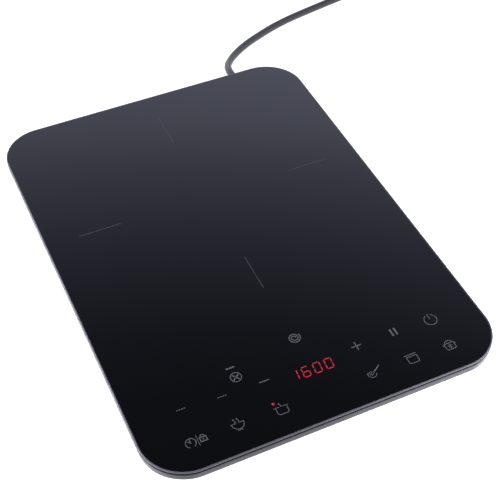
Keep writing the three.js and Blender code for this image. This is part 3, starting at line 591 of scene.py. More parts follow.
ROOM_STEPS = [
    (0.0, 1.2), (0.602, 1.15), (0.643, 1.0), (0.676, 0.7), (0.707, 0.48), (0.743, 0.3),
    (0.777, 0.16), (0.809, 0.11), (0.86, 0.09), (1.0, 0.09),
]
ROOM_PEAK = 1.2
ROOM_TINT = (0.8, 0.84, 1.12)
room = bpy.data.worlds.new("room")
room.use_nodes = True
bpy.context.scene.world = room
sky = room.node_tree
background = sky.nodes["Background"]
direction = add_node(sky, "ShaderNodeTexCoord", -1100)
parts = add_node(sky, "ShaderNodeSeparateXYZ", -900)
walls = add_node(sky, "ShaderNodeValToRGB", -650, 100)
while len(walls.color_ramp.elements) < len(ROOM_STEPS):
    walls.color_ramp.elements.new(0.5)
for element, (height, glow) in zip(walls.color_ramp.elements, ROOM_STEPS):
    element.position = height
    element.color = (*(glow / ROOM_PEAK * tint for tint in ROOM_TINT), 1)
window_side = add_node(
    sky, "ShaderNodeVectorMath", -650, -250, {1: (0.80, 0.60, 0)}, operation="DOT_PRODUCT",
)
window_range = {"From Min": 0.5, "From Max": 0.75, "To Min": ROOM_PEAK, "To Max": ROOM_PEAK * 1.35}
window_glow = add_node(sky, "ShaderNodeMapRange", -400, -250, window_range)
link(
    sky,
    (direction, "Generated", parts, 0),
    (parts, "Z", walls, "Fac"),
    (direction, "Generated", window_side, 0),
    (window_side, "Value", window_glow, "Value"),
    (walls, "Color", background, "Color"),
    (window_glow, 0, background, "Strength"),
)
bpy.context.scene.view_settings.view_transform = "Standard"

# ---- Glass plate ----
# One plate of 4 mm black ceramic glass with rounded corners and a small polished chamfer. It is opaque,
# very smooth, and carries faint wiping marks.
CASE_WIDTH = 280 * MM
CASE_DEPTH = 384 * MM
CASE_CORNER = 35 * MM
CORNER_STEPS = 28
GLASS_INSET = 1.35 * MM


def case_loop(mesh, inset, z):
    """The case's outline moved in by inset, at height z: straight sides and quarter circles."""
    radius = CASE_CORNER - inset
    x, y = CASE_WIDTH / 2 - CASE_CORNER, CASE_DEPTH / 2 - CASE_CORNER
    loop = []
    for cx, cy, start in ((x, -y, -90), (x, y, 0), (-x, y, 90), (-x, -y, 180)):
        for i in range(CORNER_STEPS + 1):
            a = math.radians(start + 90 * i / CORNER_STEPS)
            loop.append(mesh.verts.new((cx + radius * math.cos(a), cy + radius * math.sin(a), z)))
    return loop


def case_skin(levels, closed=False):
    """A skin through [inset, z] levels round the case, capped at both ends or closed as a ring."""
    mesh = bmesh.new()
    loops = [case_loop(mesh, inset, z) for inset, z in levels]
    pairs = list(zip(loops, loops[1:])) + ([(loops[-1], loops[0])] if closed else [])
    for low, high in pairs:
        for i in range(len(low)):
            j = (i + 1) % len(low)
            mesh.faces.new((low[i], low[j], high[j], high[i]))
    if not closed:
        mesh.faces.new(loops[0])
        mesh.faces.new(loops[-1])
    bmesh.ops.recalc_face_normals(mesh, faces=mesh.faces)
    return mesh


def smudge_group():
    """Wiped glass: a mask of long faint strokes and a few finger marks, for gloss."""
    tree = bpy.data.node_groups.new("wiped smudges", "ShaderNodeTree")
    add_socket(tree, "Stroke Scale", 9.0)
    add_socket(tree, "Smudges", direction="OUTPUT")
    start = add_node(tree, "NodeGroupInput", -900)
    place = add_node(tree, "ShaderNodeTexCoord", -900, -200)
    lean = {"Rotation": (0, 0, math.radians(24)), "Scale": (1, 5, 1)}
    turn = add_node(tree, "ShaderNodeMapping", -700, -200, lean)
    strokes = add_node(tree, "ShaderNodeTexNoise", -450, 0, {"Detail": 5, "Distortion": 0.6})
    clouds = add_node(tree, "ShaderNodeTexNoise", -450, -300, {"Scale": 6})
    narrow = add_node(tree, "ShaderNodeMapRange", -200, 0, {"From Min": 0.45, "From Max": 0.8})
    both = add_node(tree, "ShaderNodeMath", 0, 0, operation="MULTIPLY")
    finish = add_node(tree, "NodeGroupOutput", 200)
    link(
        tree,
        (place, "Object", turn, "Vector"),
        (turn, 0, strokes, "Vector"),
        (place, "Object", clouds, "Vector"),
        (start, "Stroke Scale", strokes, "Scale"),
        (strokes, "Fac", narrow, "Value"),
        (narrow, 0, both, 0),
        (clouds, "Fac", both, 1),
        (both, 0, finish, "Smudges"),
    )
    return tree


SMUDGES = smudge_group()


def glossy(name, colour, roughness, smear, ior):
    """A smooth shiny material whose gloss is dulled a little by smudges."""
    material, tree, shader = new_material(name, {"Base Color": (*colour, 1), "IOR": ior})
    marks = add_node(tree, "ShaderNodeGroup", -500, 0, node_tree=SMUDGES)
    gloss_range = {"To Min": roughness, "To Max": roughness + smear}
    gloss = add_node(tree, "ShaderNodeMapRange", -250, 0, gloss_range)
    link(
        tree,
        (marks, "Smudges", gloss, "Value"),
        (gloss, 0, shader, "Roughness"),
    )
    return material


BLACK_GLASS = glossy("black ceramic glass", (0.0003, 0.0003, 0.0005), 0.03, 0.07, ior=1.5)
GLASS_FOOT = 37 * MM
GLASS_FACE = 41 * MM
# Each chamfered corner has a loop just inside it, which keeps the flat face flat in its shading.
glass_levels = rounded(
    [
        (GLASS_INSET + 1 * MM, GLASS_FOOT),
        (GLASS_INSET + 0.5 * MM, GLASS_FOOT, 0),
        (GLASS_INSET, GLASS_FOOT, 0.4 * MM),
        (GLASS_INSET, GLASS_FACE, 0.4 * MM),
        (GLASS_INSET + 0.5 * MM, GLASS_FACE, 0),
        (GLASS_INSET + 1 * MM, GLASS_FACE),
    ],
    0,
    5,
)
glass = mesh_object("glass_top", case_skin(glass_levels), BLACK_GLASS, 20)
# Its edge is ground dull below the polished chamfer.
GROUND_EDGE = grained(
    "ground glass edge", (0.004, 0.004, 0.006), 0.6, grain=2500, depth=0.01, patch=60, specular=0.2
)
glass.data.materials.append(GROUND_EDGE)
for face in glass.data.polygons:
    if abs(face.normal.z) < 0.3:
        face.material_index = 1
fitted(glass, "black_glass", "glass_plate")

# ---- Printed marks ----
# Ceramic print fired on the glass: the cooking zone's four centre lines, the touch symbols, plain bars
# where small labels stand, and a plain coil mark above the display. Each stroke is 0.04 mm thick.
PRINT_THICKNESS = 0.04 * MM
LINE = 0.55  # mm, a symbol's line width


def stroke(mesh, points, width=LINE, closed=False):
    """Adds a flat raised line of that width through [x, y] points in mm."""
    path = [Vector(p).to_3d() * MM for p in points]
    count = len(path)
    half = width * MM / 2
    left, right = [], []
    for i, here in enumerate(path):
        ways = []
        if closed or i:
            ways.append((here - path[i - 1]).normalized())
        if closed or i < count - 1:
            ways.append((path[(i + 1) % count] - here).normalized())
        way = sum(ways, Vector()).normalized()
        side = Vector((-way.y, way.x, 0))
        stretch = 1 / max(0.4, side.dot(Vector((-ways[0].y, ways[0].x, 0))))
        cap = Vector()
        if not closed and i == 0:
            cap = -way * half * 0.6
        elif not closed and i == count - 1:
            cap = way * half * 0.6
        left.append(here + cap + side * half * stretch)
        right.append(here + cap - side * half * stretch)
    up = Vector((0, 0, GLASS_FACE + PRINT_THICKNESS))
    down = Vector((0, 0, GLASS_FACE))
    rings = [[mesh.verts.new(p + z) for p in row] for z in (down, up) for row in (left, right)]
    low_left, low_right, high_left, high_right = rings
    spans = range(count if closed else count - 1)
    for i in spans:
        j = (i + 1) % count
        mesh.faces.new((high_left[i], high_left[j], high_right[j], high_right[i]))
        mesh.faces.new((low_left[i], low_right[i], low_right[j], low_left[j]))
        mesh.faces.new((low_left[i], low_left[j], high_left[j], high_left[i]))
        mesh.faces.new((low_right[i], high_right[i], high_right[j], low_right[j]))
    if not closed:
        for i in (0, count - 1):
            mesh.faces.new((low_left[i], high_left[i], high_right[i], low_right[i]))


def arc(cx, cy, radius, start=0, end=360, steps=28, squash=1.0):
    """Points round a circle's arc, whose height is squashed."""
    turns = [math.radians(start + (end - start) * i / steps) for i in range(steps + 1)]
    if abs(end - start) == 360:
        turns = turns[:-1]
    return [(cx + radius * math.cos(a), cy + radius * squash * math.sin(a)) for a in turns]


def steam(cx, cy, height, sway=0.5, steps=8):
    """A short wavy line that rises from cx, cy."""
    return [
        (cx + sway * math.sin(2 * math.pi * i / steps), cy + height * i / steps) for i in range(steps + 1)
    ]


prints = bmesh.new()


def draw(x, y, *strokes):
    """Prints a symbol at x, y. A stroke is its points, or (points, closed), or with its width too."""
    for one in strokes:
        points, closed, width = (*one, LINE)[:3] if isinstance(one, tuple) else (one, False, LINE)
        stroke(prints, [(x + px, y + py) for px, py in points], width, closed)


# The touch keys' row, from right to left.
draw(100.3, -143, arc(0, 0, 4.9, 118, 422, 36), [(0, 0.6), (0, 5.6)])
draw(69.2, -141.8, ([(-1.7, -3), (-1.7, 3)], False, 1.25), ([(1.7, -3), (1.7, 3)], False, 1.25))
draw(
    37.8, -142, ([(-3.7, 0), (3.7, 0)], False, 0.8), ([(0, -3.7), (0, -0.45)], False, 0.8),
    ([(0, 0.45), (0, 3.7)], False, 0.8),
)
draw(-37.4, -142.6, ([(-3.7, 0), (3.7, 0)], False, 0.8))
for x, y in ((-69.5, -142.3), (-100.2, -140.5)):
    dashes = [([(left, 0), (left + 1.0, 0)], False, 0.6) for left in (-4.1, -2.2, -0.3, 1.6)]
    draw(x, y, *dashes)
# The fan-speed symbol with its label's bar.
blades = []
for angle in (0.4, 1.97, 3.54, 5.11):
    c, s = math.cos(angle), math.sin(angle)
    blades.append(([(1.1 * c, 1.1 * s), (2.9 * c - 0.9 * s, 2.9 * s + 0.9 * c)], False, 0.9))
draw(-54.3, -131, (arc(0, 0, 4.1), True, 0.6), (arc(0, 0, 0.7, steps=10), True, 0.4), *blades)
draw(
    -54.9, -121.7, ([(-2.9, 0), (-1.1, 0)], False, 1.3), ([(-0.7, 0), (0.9, 0)], False, 1.3),
    ([(1.3, 0), (2.9, 0)], False, 1.3),
)
# The programme row, from left to right: timer and lock, steaming bowl, milk pot, frying pan, soup pot,
# rice cooker.
draw(-105.2, -169.3, arc(0, 0, 3.8, -60, 240, 26), [(0, 3), (0, 0), (-1.9, 1.6)])
draw(-99.9, -169.1, ([(0, -4.6), (0, 4.6)], False, 0.35))
draw(
    -95.9, -168.3, ([(-2.3, -2.9), (2.3, -2.9), (2.3, 0.6), (-2.3, 0.6)], True, 0.8),
    (arc(0, 0.9, 1.6, 0, 180, 12), False, 0.6), ([(0, -1.7), (0, -0.7)], False, 0.8),
)
draw(
    -69.5, -168.5, arc(0, 0.6, 4.6, 180, 360, 18), [(-4.9, 1.1), (-1, 1.1)], [(1, 1.1), (4.9, 1.1)],
    steam(-1.6, 2, 3.1), steam(1.2, 2, 3.1), [(-1.8, -4.9), (1.8, -4.9)],
)
pot = [(-4.2, 2.4), (-4.2, -2.6), (-3, -3.9), (3, -3.9), (4.2, -2.6), (4.2, 2.4)]
draw(
    -36.2, -169.9, pot, [(-4.2, 2.4), (-1.3, 2.4)], [(1.3, 2.4), (5.4, 2.4)],
    [(-5.5, 2.4), (-4.8, 2.4)], steam(0, 2.6, 3),
)
draw(
    37.6,
    -168.2,
    (arc(-1.6, -1, 3.3, 150, 345, 18), False, 0.5),
    ([(0.6, 0.2), (3.2, 1.6), (6.4, 4.1)], False, 0.8),
    ([(-4.2, -0.4), (-1.7, 1.4)], False, 0.5),
    ([(-3.6, -1.7), (-0.4, 0.6)], False, 0.5),
    ([(-2.3, -2.5), (0.6, -0.4)], False, 0.5),
)
draw(
    69.7, -168.9,
    ([(-4.1, 1.9), (-4.1, -3.2), (-3.1, -4.3), (3.1, -4.3), (4.1, -3.2), (4.1, 1.9)], True),
    [(-5.2, 3.6), (4.4, 3.6)],
)
draw(
    100.7, -169.8, ([(-3.9, 1.9), (-3.9, -2.9), (-3, -3.9), (3, -3.9), (3.9, -2.9), (3.9, 1.9)], True),
    [(-5.3, 0.6), (-4.5, 0.6)], [(4.5, 0.6), (5.3, 0.6)], arc(0, 2.4, 3, 10, 170, 12, 0.62),
    ([(-1.5, -1.9), (1.5, -1.9)], False, 0.45), ([(-1.9, -0.4), (1.9, -0.4)], False, 0.45),
    ([(0, -2.9), (0, 0.9)], False, 0.45),
)
# A plain coil mark.
spiral = []
for i in range(45):
    t = i / 44
    spiral.append(((1.3 + 3.6 * t) * math.cos(13 * t), (1.3 + 3.6 * t) * math.sin(13 * t)))
draw(-0.4, -116, (spiral, False, 0.75))
PRINT_GREY = grained("ceramic print", (0.029, 0.029, 0.033), 0.45, grain=3000, depth=0.004, patch=300)
bmesh.ops.recalc_face_normals(prints, faces=prints.faces)
symbols = mesh_object("touch_symbols", prints, PRINT_GREY, 20)
fitted(symbols, "print_grey")

# The zone's centre lines are finer and greyer than the symbols.
ZONE = (0, 50)
ZONE_LINE = (76, 111.6)
prints = bmesh.new()
for x, y in ((0, 1), (1, 0), (0, -1), (-1, 0)):
    ends = [(ZONE[0] + reach * x, ZONE[1] + reach * y) for reach in ZONE_LINE]
    stroke(prints, ends, 0.45)
bmesh.ops.recalc_face_normals(prints, faces=prints.faces)
ZONE_GREY = grained("zone print", (0.016, 0.016, 0.019), 0.4, grain=3000, depth=0.004, patch=300)
zone_lines = mesh_object("zone_lines", prints, ZONE_GREY, 20)
fitted(zone_lines, "print_grey")

# ---- Lit digits ----
# The display's four seven-segment digits and the programme's lamp, which shine red through the glass.
# They lie on its face as thin segments, a little uneven in brightness.
SEGMENTS = {"1": "bc", "6": "acdefg", "0": "abcdef"}
DIGIT = (5.3, 8.8)  # mm
DIGIT_PITCH = 9.2
DIGIT_LEAN = 0.09
FIRST_DIGIT = (-15.5, -147.6)
STATUS_LAMP = (-40.2, -163.4)


def lit_material(name, strength, spread, scale):
    """A material that glows red, a little unevenly."""
    unlit = {"Base Color": (0.12, 0.004, 0.008, 1), "Roughness": 0.25, "Emission Strength": strength}
    material, tree, shader = new_material(name, unlit)
    place = add_node(tree, "ShaderNodeTexCoord", -900)
    spots = add_node(tree, "ShaderNodeTexNoise", -700, 0, {"Scale": scale})
    glow_range = {"From Min": 0.3, "From Max": 0.7, "To Min": 1 - spread, "To Max": 1 + spread}
    glow = add_node(tree, "ShaderNodeMapRange", -450, 0, glow_range)
    colour = add_node(tree, "ShaderNodeVectorMath", -250, 0, {0: (0.24, 0.006, 0.022)}, operation="SCALE")
    link(
        tree,
        (place, "Object", spots, "Vector"),
        (spots, "Fac", glow, "Value"),
        (glow, 0, colour, "Scale"),
        (colour, 0, shader, "Emission Color"),
    )
    return material


LIT_RED = lit_material("lit red", 1.0, 0.45, 700)


def segment_ends(name, width, height):
    """The ends of one of a digit's seven segments, which go by the letters a to g."""
    x, y, gap = width / 2, height / 2, 0.75
    return {
        "a": ((-x + gap, y), (x - gap, y)),
        "b": ((x, y - gap), (x, gap)),
        "c": ((x, -gap), (x, -y + gap)),
        "d": ((x - gap, -y), (-x + gap, -y)),
        "e": ((-x, -y + gap), (-x, -gap)),
        "f": ((-x, gap), (-x, y - gap)),
        "g": ((-x + gap, 0), (x - gap, 0)),
    }[name]


lit = bmesh.new()
for i, digit in enumerate("1600"):
    left = FIRST_DIGIT[0] + i * DIGIT_PITCH
    for name in SEGMENTS[digit]:
        ends = [(left + x + DIGIT_LEAN * y, FIRST_DIGIT[1] + y) for x, y in segment_ends(name, *DIGIT)]
        stroke(lit, ends, 0.75)
stroke(lit, arc(*STATUS_LAMP, 0.55, steps=16), 1.05, closed=True)
bmesh.ops.recalc_face_normals(lit, faces=lit.faces)
digits = mesh_object("lit_digits", lit, LIT_RED, 20)
fitted(digits, "display_red")

# ---- Glass rim ----
# A narrow satin silver ring bonded round the glass's upper edge, with rounded outer corners. Its colour
# is painted about twice as bright as the frame's silver: a painted highlight on its top face, which
# looks up at the dark ceiling.
RIM_SILVER_PAINTED_BRIGHT = grained(
    "satin rim painted brighter", (0.05, 0.049, 0.06), 0.42, metallic=0.3, grain=2600, depth=0.006, patch=10,
)
rim_section = [
    (0, 39.8, 0.25), (0, 41, 0.45), (1.05, 41, 0.12), (1.05, 39.8, 0.1),
]
rim_levels = rounded(metres(rim_section), 0, 4, closed=True)
rim = mesh_object("glass_rim", case_skin(rim_levels, closed=True), RIM_SILVER_PAINTED_BRIGHT)
fitted(rim, "silver_paint", "glass_trim")

# ---- Glass seal ----
# A thin black rubber gasket in the frame's groove, under the glass's edge.
SEAL_RUBBER = grained("seal rubber", (0.02, 0.02, 0.021), 0.7, grain=1800, depth=0.02, patch=80)
seal_section = ((3, 36.35), (3, 36.85), (6, 36.85), (6, 36.35))
seal_levels = rounded(metres(seal_section), 0.12 * MM, 3, closed=True)
seal = mesh_object("edge_gasket", case_skin(seal_levels, closed=True), SEAL_RUBBER)
fitted(seal, "black_rubber", "glass_seal")

# ---- Upper frame ----
# The silver-painted moulding that carries the glass: a visible side band with rounded edges, a ledge
# inside it, and a lobe with a screw post at each of the six screws.
SCREW_PLACES = [
    (-119.85, -171.85), (119.85, -171.85), (-119.85, 171.85), (119.85, 171.85), (-126, -14),
    (126, -14),
]
frame_section = [
    (0.25, 32.2, 0.5), (0, 38.2, 0.35), (1.05, 38.2, 0.1), (1.05, 36.75, 0.1), (2.6, 36.75, 0),
    (2.6, 36.25, 0), (6.4, 36.25, 0), (6.4, 36.75, 0), (9, 36.75, 0.2), (9, 34.75, 0.2),
    (2.2, 34.75, 0.3), (2.2, 32.2, 0.2),
]
frame_levels = rounded(metres(frame_section), 0, 4, closed=True)
SILVER = grained(
    "silver paint", (0.024, 0.0235, 0.031), 0.3, metallic=0.2, specular=0.25, grain=2600, depth=0.006,
    patch=10, colour_spread=0.05, roughness_spread=0.05,
)
upper_frame = mesh_object("silver_frame", case_skin(frame_levels, closed=True), SILVER)
POST_SIDES = 24


def posts(places):
    """One mesh of upright cylinders. Each place is (radius, low, high, x, y) in mm."""
    mesh = bmesh.new()
    for radius, low, high, x, y in places:
        made = turned(metres([(0, low), (radius, low), (radius, high), (0, high)]), POST_SIDES)
        made.transform(Matrix.Translation((x * MM, y * MM, 0)))
        part = bpy.data.meshes.new("part")
        made.to_mesh(part)
        made.free()
        mesh.from_mesh(part)
        bpy.data.meshes.remove(part)
    return mesh


screw_lobes = posts([(6, 34.75, 35.95, x, y) for x, y in SCREW_PLACES])
screw_posts = posts([(3.6, 29.2, 35.25, x, y) for x, y in SCREW_PLACES])
screw_pilots = posts([(1.5, 28.7, 34.9, x, y) for x, y in SCREW_PLACES])
cut_away(upper_frame, [mesh_object("lobes", screw_lobes), mesh_object("posts", screw_posts)], "UNION")
cut_away(upper_frame, [mesh_object("pilots", screw_pilots)])
# The paint ends at the seam: the moulding is bare black plastic inside it. The near-black on the
# frame's top under the glass is also painted shade, which darkens the seam line as its shadow would.
SEAM_SHADE_PLASTIC = grained("bare plastic and seam shade", (0.008, 0.008, 0.009), 0.6, grain=1500, depth=0.03, specular=0.25)
upper_frame.data.materials.append(SEAM_SHADE_PLASTIC)
for face in upper_frame.data.polygons:
    past_x = abs(face.center.x) - (CASE_WIDTH / 2 - CASE_CORNER)
    past_y = abs(face.center.y) - (CASE_DEPTH / 2 - CASE_CORNER)
    from_edge = CASE_CORNER - math.hypot(max(past_x, 0), max(past_y, 0)) - min(max(past_x, past_y), 0)
    if from_edge > 0.2 * MM:
        face.material_index = 1
fitted(upper_frame, "silver_paint", "upper_frame")

# ---- Base tub ----
# The black moulding that closes the case: a flat floor and sides that slope outwards, with air slots in
# rows along its back and right side, a grille under the fan, and a well for each screw. It has a fine
# moulded grain.
TUB_BLACK = grained("tub plastic", (0.022, 0.022, 0.024), 0.46, grain=1500, depth=0.03, patch=18)
FLOOR_TOP = 6.2 * MM
TUB_SLOPE = 19 / 26.75
WALL_ACROSS = 2.2 * math.hypot(1, TUB_SLOPE) * MM
WALL_FOOT = 31.95 * MM + (WALL_ACROSS - 2.2 * MM) / TUB_SLOPE
tub_levels = rounded(
    [
        (26 * MM, 4 * MM),
        (23.2 * MM, 4 * MM, 0),
        (21.4 * MM, 4.4 * MM, 1.6 * MM),
        (2.5 * MM, 31.95 * MM, 1.2 * MM),
        (2.5 * MM, 34.45 * MM, 0.3 * MM),
        (4.7 * MM, 34.45 * MM, 0.3 * MM),
        (4.7 * MM, WALL_FOOT, 1 * MM),
        (20.8 * MM + WALL_ACROSS, FLOOR_TOP, 1 * MM),
        (28 * MM, FLOOR_TOP, 0),
    ],
    0,
    4,
)
base_tub = mesh_object("slotted_tub", case_skin(tub_levels), TUB_BLACK)


def node_group(name, *inputs):
    """A Geometry Nodes group with the given (name, socket type, value) inputs and one geometry output."""
    tree = bpy.data.node_groups.new(name, "GeometryNodeTree")
    for title, kind, value in inputs:
        add_socket(tree, title, value, kind=kind)
    add_socket(tree, "Material", kind="Material")
    add_socket(tree, "Geometry", direction="OUTPUT", kind="Geometry")
    start = add_node(tree, "NodeGroupInput", -900)
    real = add_node(tree, "GeometryNodeRealizeInstances", 400)
    paint = add_node(tree, "GeometryNodeSetMaterial", 600)
    finish = add_node(tree, "NodeGroupOutput", 800)
    link(
        tree,
        (real, 0, paint, "Geometry"),
        (start, "Material", paint, "Material"),
        (paint, 0, finish, 0),
    )
    return tree, start, real


def grown(name, tree, sharp=32, **values):
    """A plain mesh object made by a Geometry Nodes group, with its inputs set by name."""
    obj = bpy.data.objects.new(name, bpy.data.meshes.new(name))
    bpy.context.scene.collection.objects.link(obj)
    modifier = obj.modifiers.new("nodes", "NODES")
    modifier.node_group = tree
    for item in tree.interface.items_tree:
        key = item.name.lower().replace(" ", "_")
        if item.in_out == "INPUT" and key in values:
            modifier[item.identifier] = values[key]
    return made_plain(obj, sharp)


def row_group():
    """Copies of an object in a straight row."""
    tree, start, real = node_group(
        "row",
        ("Piece", "Object", None),
        ("Count", "Int", 2),
        ("Start", "Vector", None),
        ("Step", "Vector", None),
    )
    line = add_node(tree, "GeometryNodeMeshLine", -500, mode="OFFSET")
    pick = add_node(tree, "GeometryNodeObjectInfo", -500, -300)
    copies = add_node(tree, "GeometryNodeInstanceOnPoints", 0)
    link(
        tree,
        (start, "Count", line, "Count"),
        (start, "Start", line, "Start Location"),
        (start, "Step", line, "Offset"),
        (start, "Piece", pick, "Object"),
        (line, 0, copies, "Points"),
        (pick, "Geometry", copies, "Instance"),
        (copies, 0, real, 0),
    )
    return tree


ROW = row_group()


def row_of(piece, count, start, step):
    """A straight row of copies of piece, which is used up."""
    made = grown("row", ROW, piece=piece, count=count, start=start, step=step)
    bpy.data.objects.remove(piece)
    return made


SPRING_ANGLES = map(math.radians, (90, 210, 330))
SPRING_PLACES = [(100 * math.cos(a), 50 + 100 * math.sin(a)) for a in SPRING_ANGLES]
tub_adds = posts(
    [(5.2, 5, 28.9, x, y) for x, y in SCREW_PLACES] + [(6, 5.2, 15.5, x, y) for x, y in SPRING_PLACES]
)
tub_pins = posts(
    [(2.6, 5.4, 24.5, x, y) for x, y in SPRING_PLACES]
    + [(2.4, 5.2, 11.2, x, 160) for x in (90, 106)]
    + [(3.5, 5.2, 10.2, x, y) for x in (-6, 106) for y in (-116, -52)]
    + [(3.5, 5.2, 27.7, x, y) for x in (-99, 99) for y in (-166, -140)]
)
gland_pad = box_object((86 * MM, 165 * MM, 7 * MM), (110 * MM, 187 * MM, 25 * MM), bevel=0.6 * MM)
# A well is trimmed to the tub's outside, so the sloping wall stays clean.
outside = mesh_object("outside", case_skin(metres([(23, 4.6), (21.1, 5), (2.7, 31.9), (2.7, 34)])))
wells = mesh_object("wells", tub_adds)
modifier = wells.modifiers.new("trim", "BOOLEAN")
modifier.object, modifier.operation, modifier.solver = outside, "INTERSECT", "EXACT"
made_plain(wells)
bpy.data.objects.remove(outside)
cut_away(base_tub, [gland_pad, wells, mesh_object("pins", tub_pins)], "UNION")

slot_cutter = box_object((-1.6 * MM, -15 * MM, 11 * MM), (1.6 * MM, 15 * MM, 27 * MM))
slot_rounding = slot_cutter.modifiers.new("round", "BEVEL")
slot_rounding.width, slot_rounding.segments, slot_rounding.limit_method = 1.2 * MM, 3, "NONE"
made_plain(slot_cutter)
side_cutter = bpy.data.objects.new("side", slot_cutter.data.copy())
side_cutter.data.transform(Matrix.Rotation(math.pi / 2, 4, "Z"))
bpy.context.scene.collection.objects.link(side_cutter)
rear_slots = row_of(slot_cutter, 22, (-100 * MM, 176 * MM, 0), (8 * MM, 0, 0))
right_slots = row_of(side_cutter, 12, (124 * MM, -132 * MM, 0), (0, 8 * MM, 0))
FAN_X, FAN_Y = -64, -84
GRILLE_PITCH = 7.6
GRILLE_RADIUS = 37
grille = []
for row in range(-4, 5):
    y = row * GRILLE_PITCH
    half = math.sqrt(GRILLE_RADIUS**2 - y**2)
    for low_x, high_x in ((-half, -4), (4, half)):
        slot_low = ((FAN_X + low_x) * MM, (FAN_Y + y - 1.7) * MM, 2 * MM)
        slot_high = ((FAN_X + high_x) * MM, (FAN_Y + y + 1.7) * MM, 8 * MM)
        grille.append(box_object(slot_low, slot_high, bevel=1.1 * MM))
bores = mesh_object(
    "bores",
    posts(
        [(3.7, 0, 26.4, x, y) for x, y in SCREW_PLACES]
        + [(2.2, 3, 8, x, y) for x in (-98, 98) for y in (-148, 148)]
    ),
)
pilot_bores = mesh_object("pilot_bores", posts([(1.9, 25.4, 30, x, y) for x, y in SCREW_PLACES]))
bore_profile = metres([(0, -30), (6.6, -30), (6.6, 12), (0, 12)])
cord_bore = turned_object("cord_bore", bore_profile, 32, gland_place)
cut_away(base_tub, [rear_slots, right_slots, bores, pilot_bores, cord_bore, *grille])
fitted(base_tub, "tub_plastic", "base_tub")

# ---- Feet ----
# Four soft rubber feet pushed into the tub's floor: a domed pad with two ring grooves in its sole, and
# a barbed stem.
FOOT_RUBBER = grained("foot rubber", (0.02, 0.02, 0.02), 0.68, grain=1300, depth=0.03, patch=120)
foot_profile = [
    (0, 0), (2.4, 0), (2.6, 0.5), (3.4, 0.5), (3.6, 0), (5.2, 0), (5.4, 0.5), (6.2, 0.5), (6.4, 0),
    (8, 0), (9, 1.2), (8.4, 3.7), (1.9, 3.7), (1.9, 6.5), (3, 6.8), (0.9, 8.8), (0, 8.8),
]
foot_profile = rounded(metres(foot_profile), 0.3 * MM, 3)
for side_y, word_y in ((-1, "front"), (1, "rear")):
    for side_x, word_x in ((-1, "left"), (1, "right")):
        place = Matrix.Translation((side_x * 98 * MM, side_y * 148 * MM, 0))
        foot = turned_object(f"rubber_foot_{word_y}_{word_x}", foot_profile, 48, place, FOOT_RUBBER)
        fitted(foot, "foot_rubber", f"foot_{word_y}_{word_x}")

# ---- Case screws ----
# Six zinc-plated pan-head screws that come up through the tub's wells into the frame's posts. Each has
# a cross recess and a threaded shank.
ZINC = grained("zinc plate", (0.55, 0.56, 0.58), 0.3, metallic=1.0, grain=500, depth=0.005, patch=200)
thread = []
for i in range(14):
    z = 0.8 + 0.5 * i
    thread += [(1.3, z), (1.02, z + 0.25)]
screw_profile = [
    (0, -2.2), (1.6, -2.2), (2.4, -1.95), (2.9, -1.2), (2.9, 0), (1.3, 0), *thread, (0.5, 8.6),
    (0, 8.6),
]
screw = mesh_object("screw", turned(metres(screw_profile), 24), ZINC, 40)
recess = []
for w, d in ((1.6, 0.4), (0.4, 1.6)):
    recess.append(box_object((-w * MM, -d * MM, -2.4 * MM), (w * MM, d * MM, -1.2 * MM)))
cut_away(screw, recess)


def places_group():
    """Copies of an object on the points of a mesh object, turned a different way on each."""
    tree, start, real = node_group(
        "places", ("Piece", "Object", None), ("Points", "Object", None), ("Turn", "Float", 0.0)
    )
    pick = add_node(tree, "GeometryNodeObjectInfo", -500, -300)
    spots = add_node(tree, "GeometryNodeObjectInfo", -500, 0)
    chance = add_node(tree, "FunctionNodeRandomValue", -500, -600, {"Seed": 5}, data_type="FLOAT")
    turn = add_node(tree, "ShaderNodeCombineXYZ", -250, -600)
    copies = add_node(tree, "GeometryNodeInstanceOnPoints", 0)
    link(
        tree,
        (start, "Piece", pick, "Object"),
        (start, "Points", spots, "Object"),
        (start, "Turn", chance, 3),
        (chance, 1, turn, "Z"),
        (spots, "Geometry", copies, "Points"),
        (pick, "Geometry", copies, "Instance"),
        (turn, 0, copies, "Rotation"),
        (copies, 0, real, 0),
    )
    return tree


PLACES = places_group()


def at_places(name, piece, places, material, turn=0.0, sharp=32):
    """One mesh of copies of piece, a metre-sized object at the origin, at places given in mm."""
    dots = bpy.data.meshes.new("dots")
    dots.from_pydata([Vector(p) * MM for p in places], [], [])
    spots = bpy.data.objects.new("dots", dots)
    bpy.context.scene.collection.objects.link(spots)
    made = grown(name, PLACES, sharp, piece=piece, points=spots, turn=turn, material=material)
    for spare in (spots, piece):
        bpy.data.objects.remove(spare)
    return made


screws = at_places("case_screws", screw, [(x, y, 26.1) for x, y in SCREW_PLACES], ZINC, 3.0, 40)
rows, sides = ("front", "rear", "middle"), ("left", "right")
screw_nodes = [f"case_screw_{row}_{side}" for row in rows for side in sides]
fitted(screws, "spring_steel", *screw_nodes)

# ---- Coil former ----
# A thin cream disc of heat-proof plastic on three sprung ears, with the sensor's cup in its middle and
# rails for the ferrite bars underneath.
CREAM = grained("cream plastic", (0.62, 0.57, 0.46), 0.5, grain=1200, depth=0.02, patch=20)
former = copied("coil_former", "former_disc", CREAM, 0.3 * MM)
fitted(former, "cream_plastic", "coil_former")

# ---- Work coil ----
# A flat spiral of thick litz wire, 24 turns from the middle to the rim, with the twisted strands' lay
# on its surface.


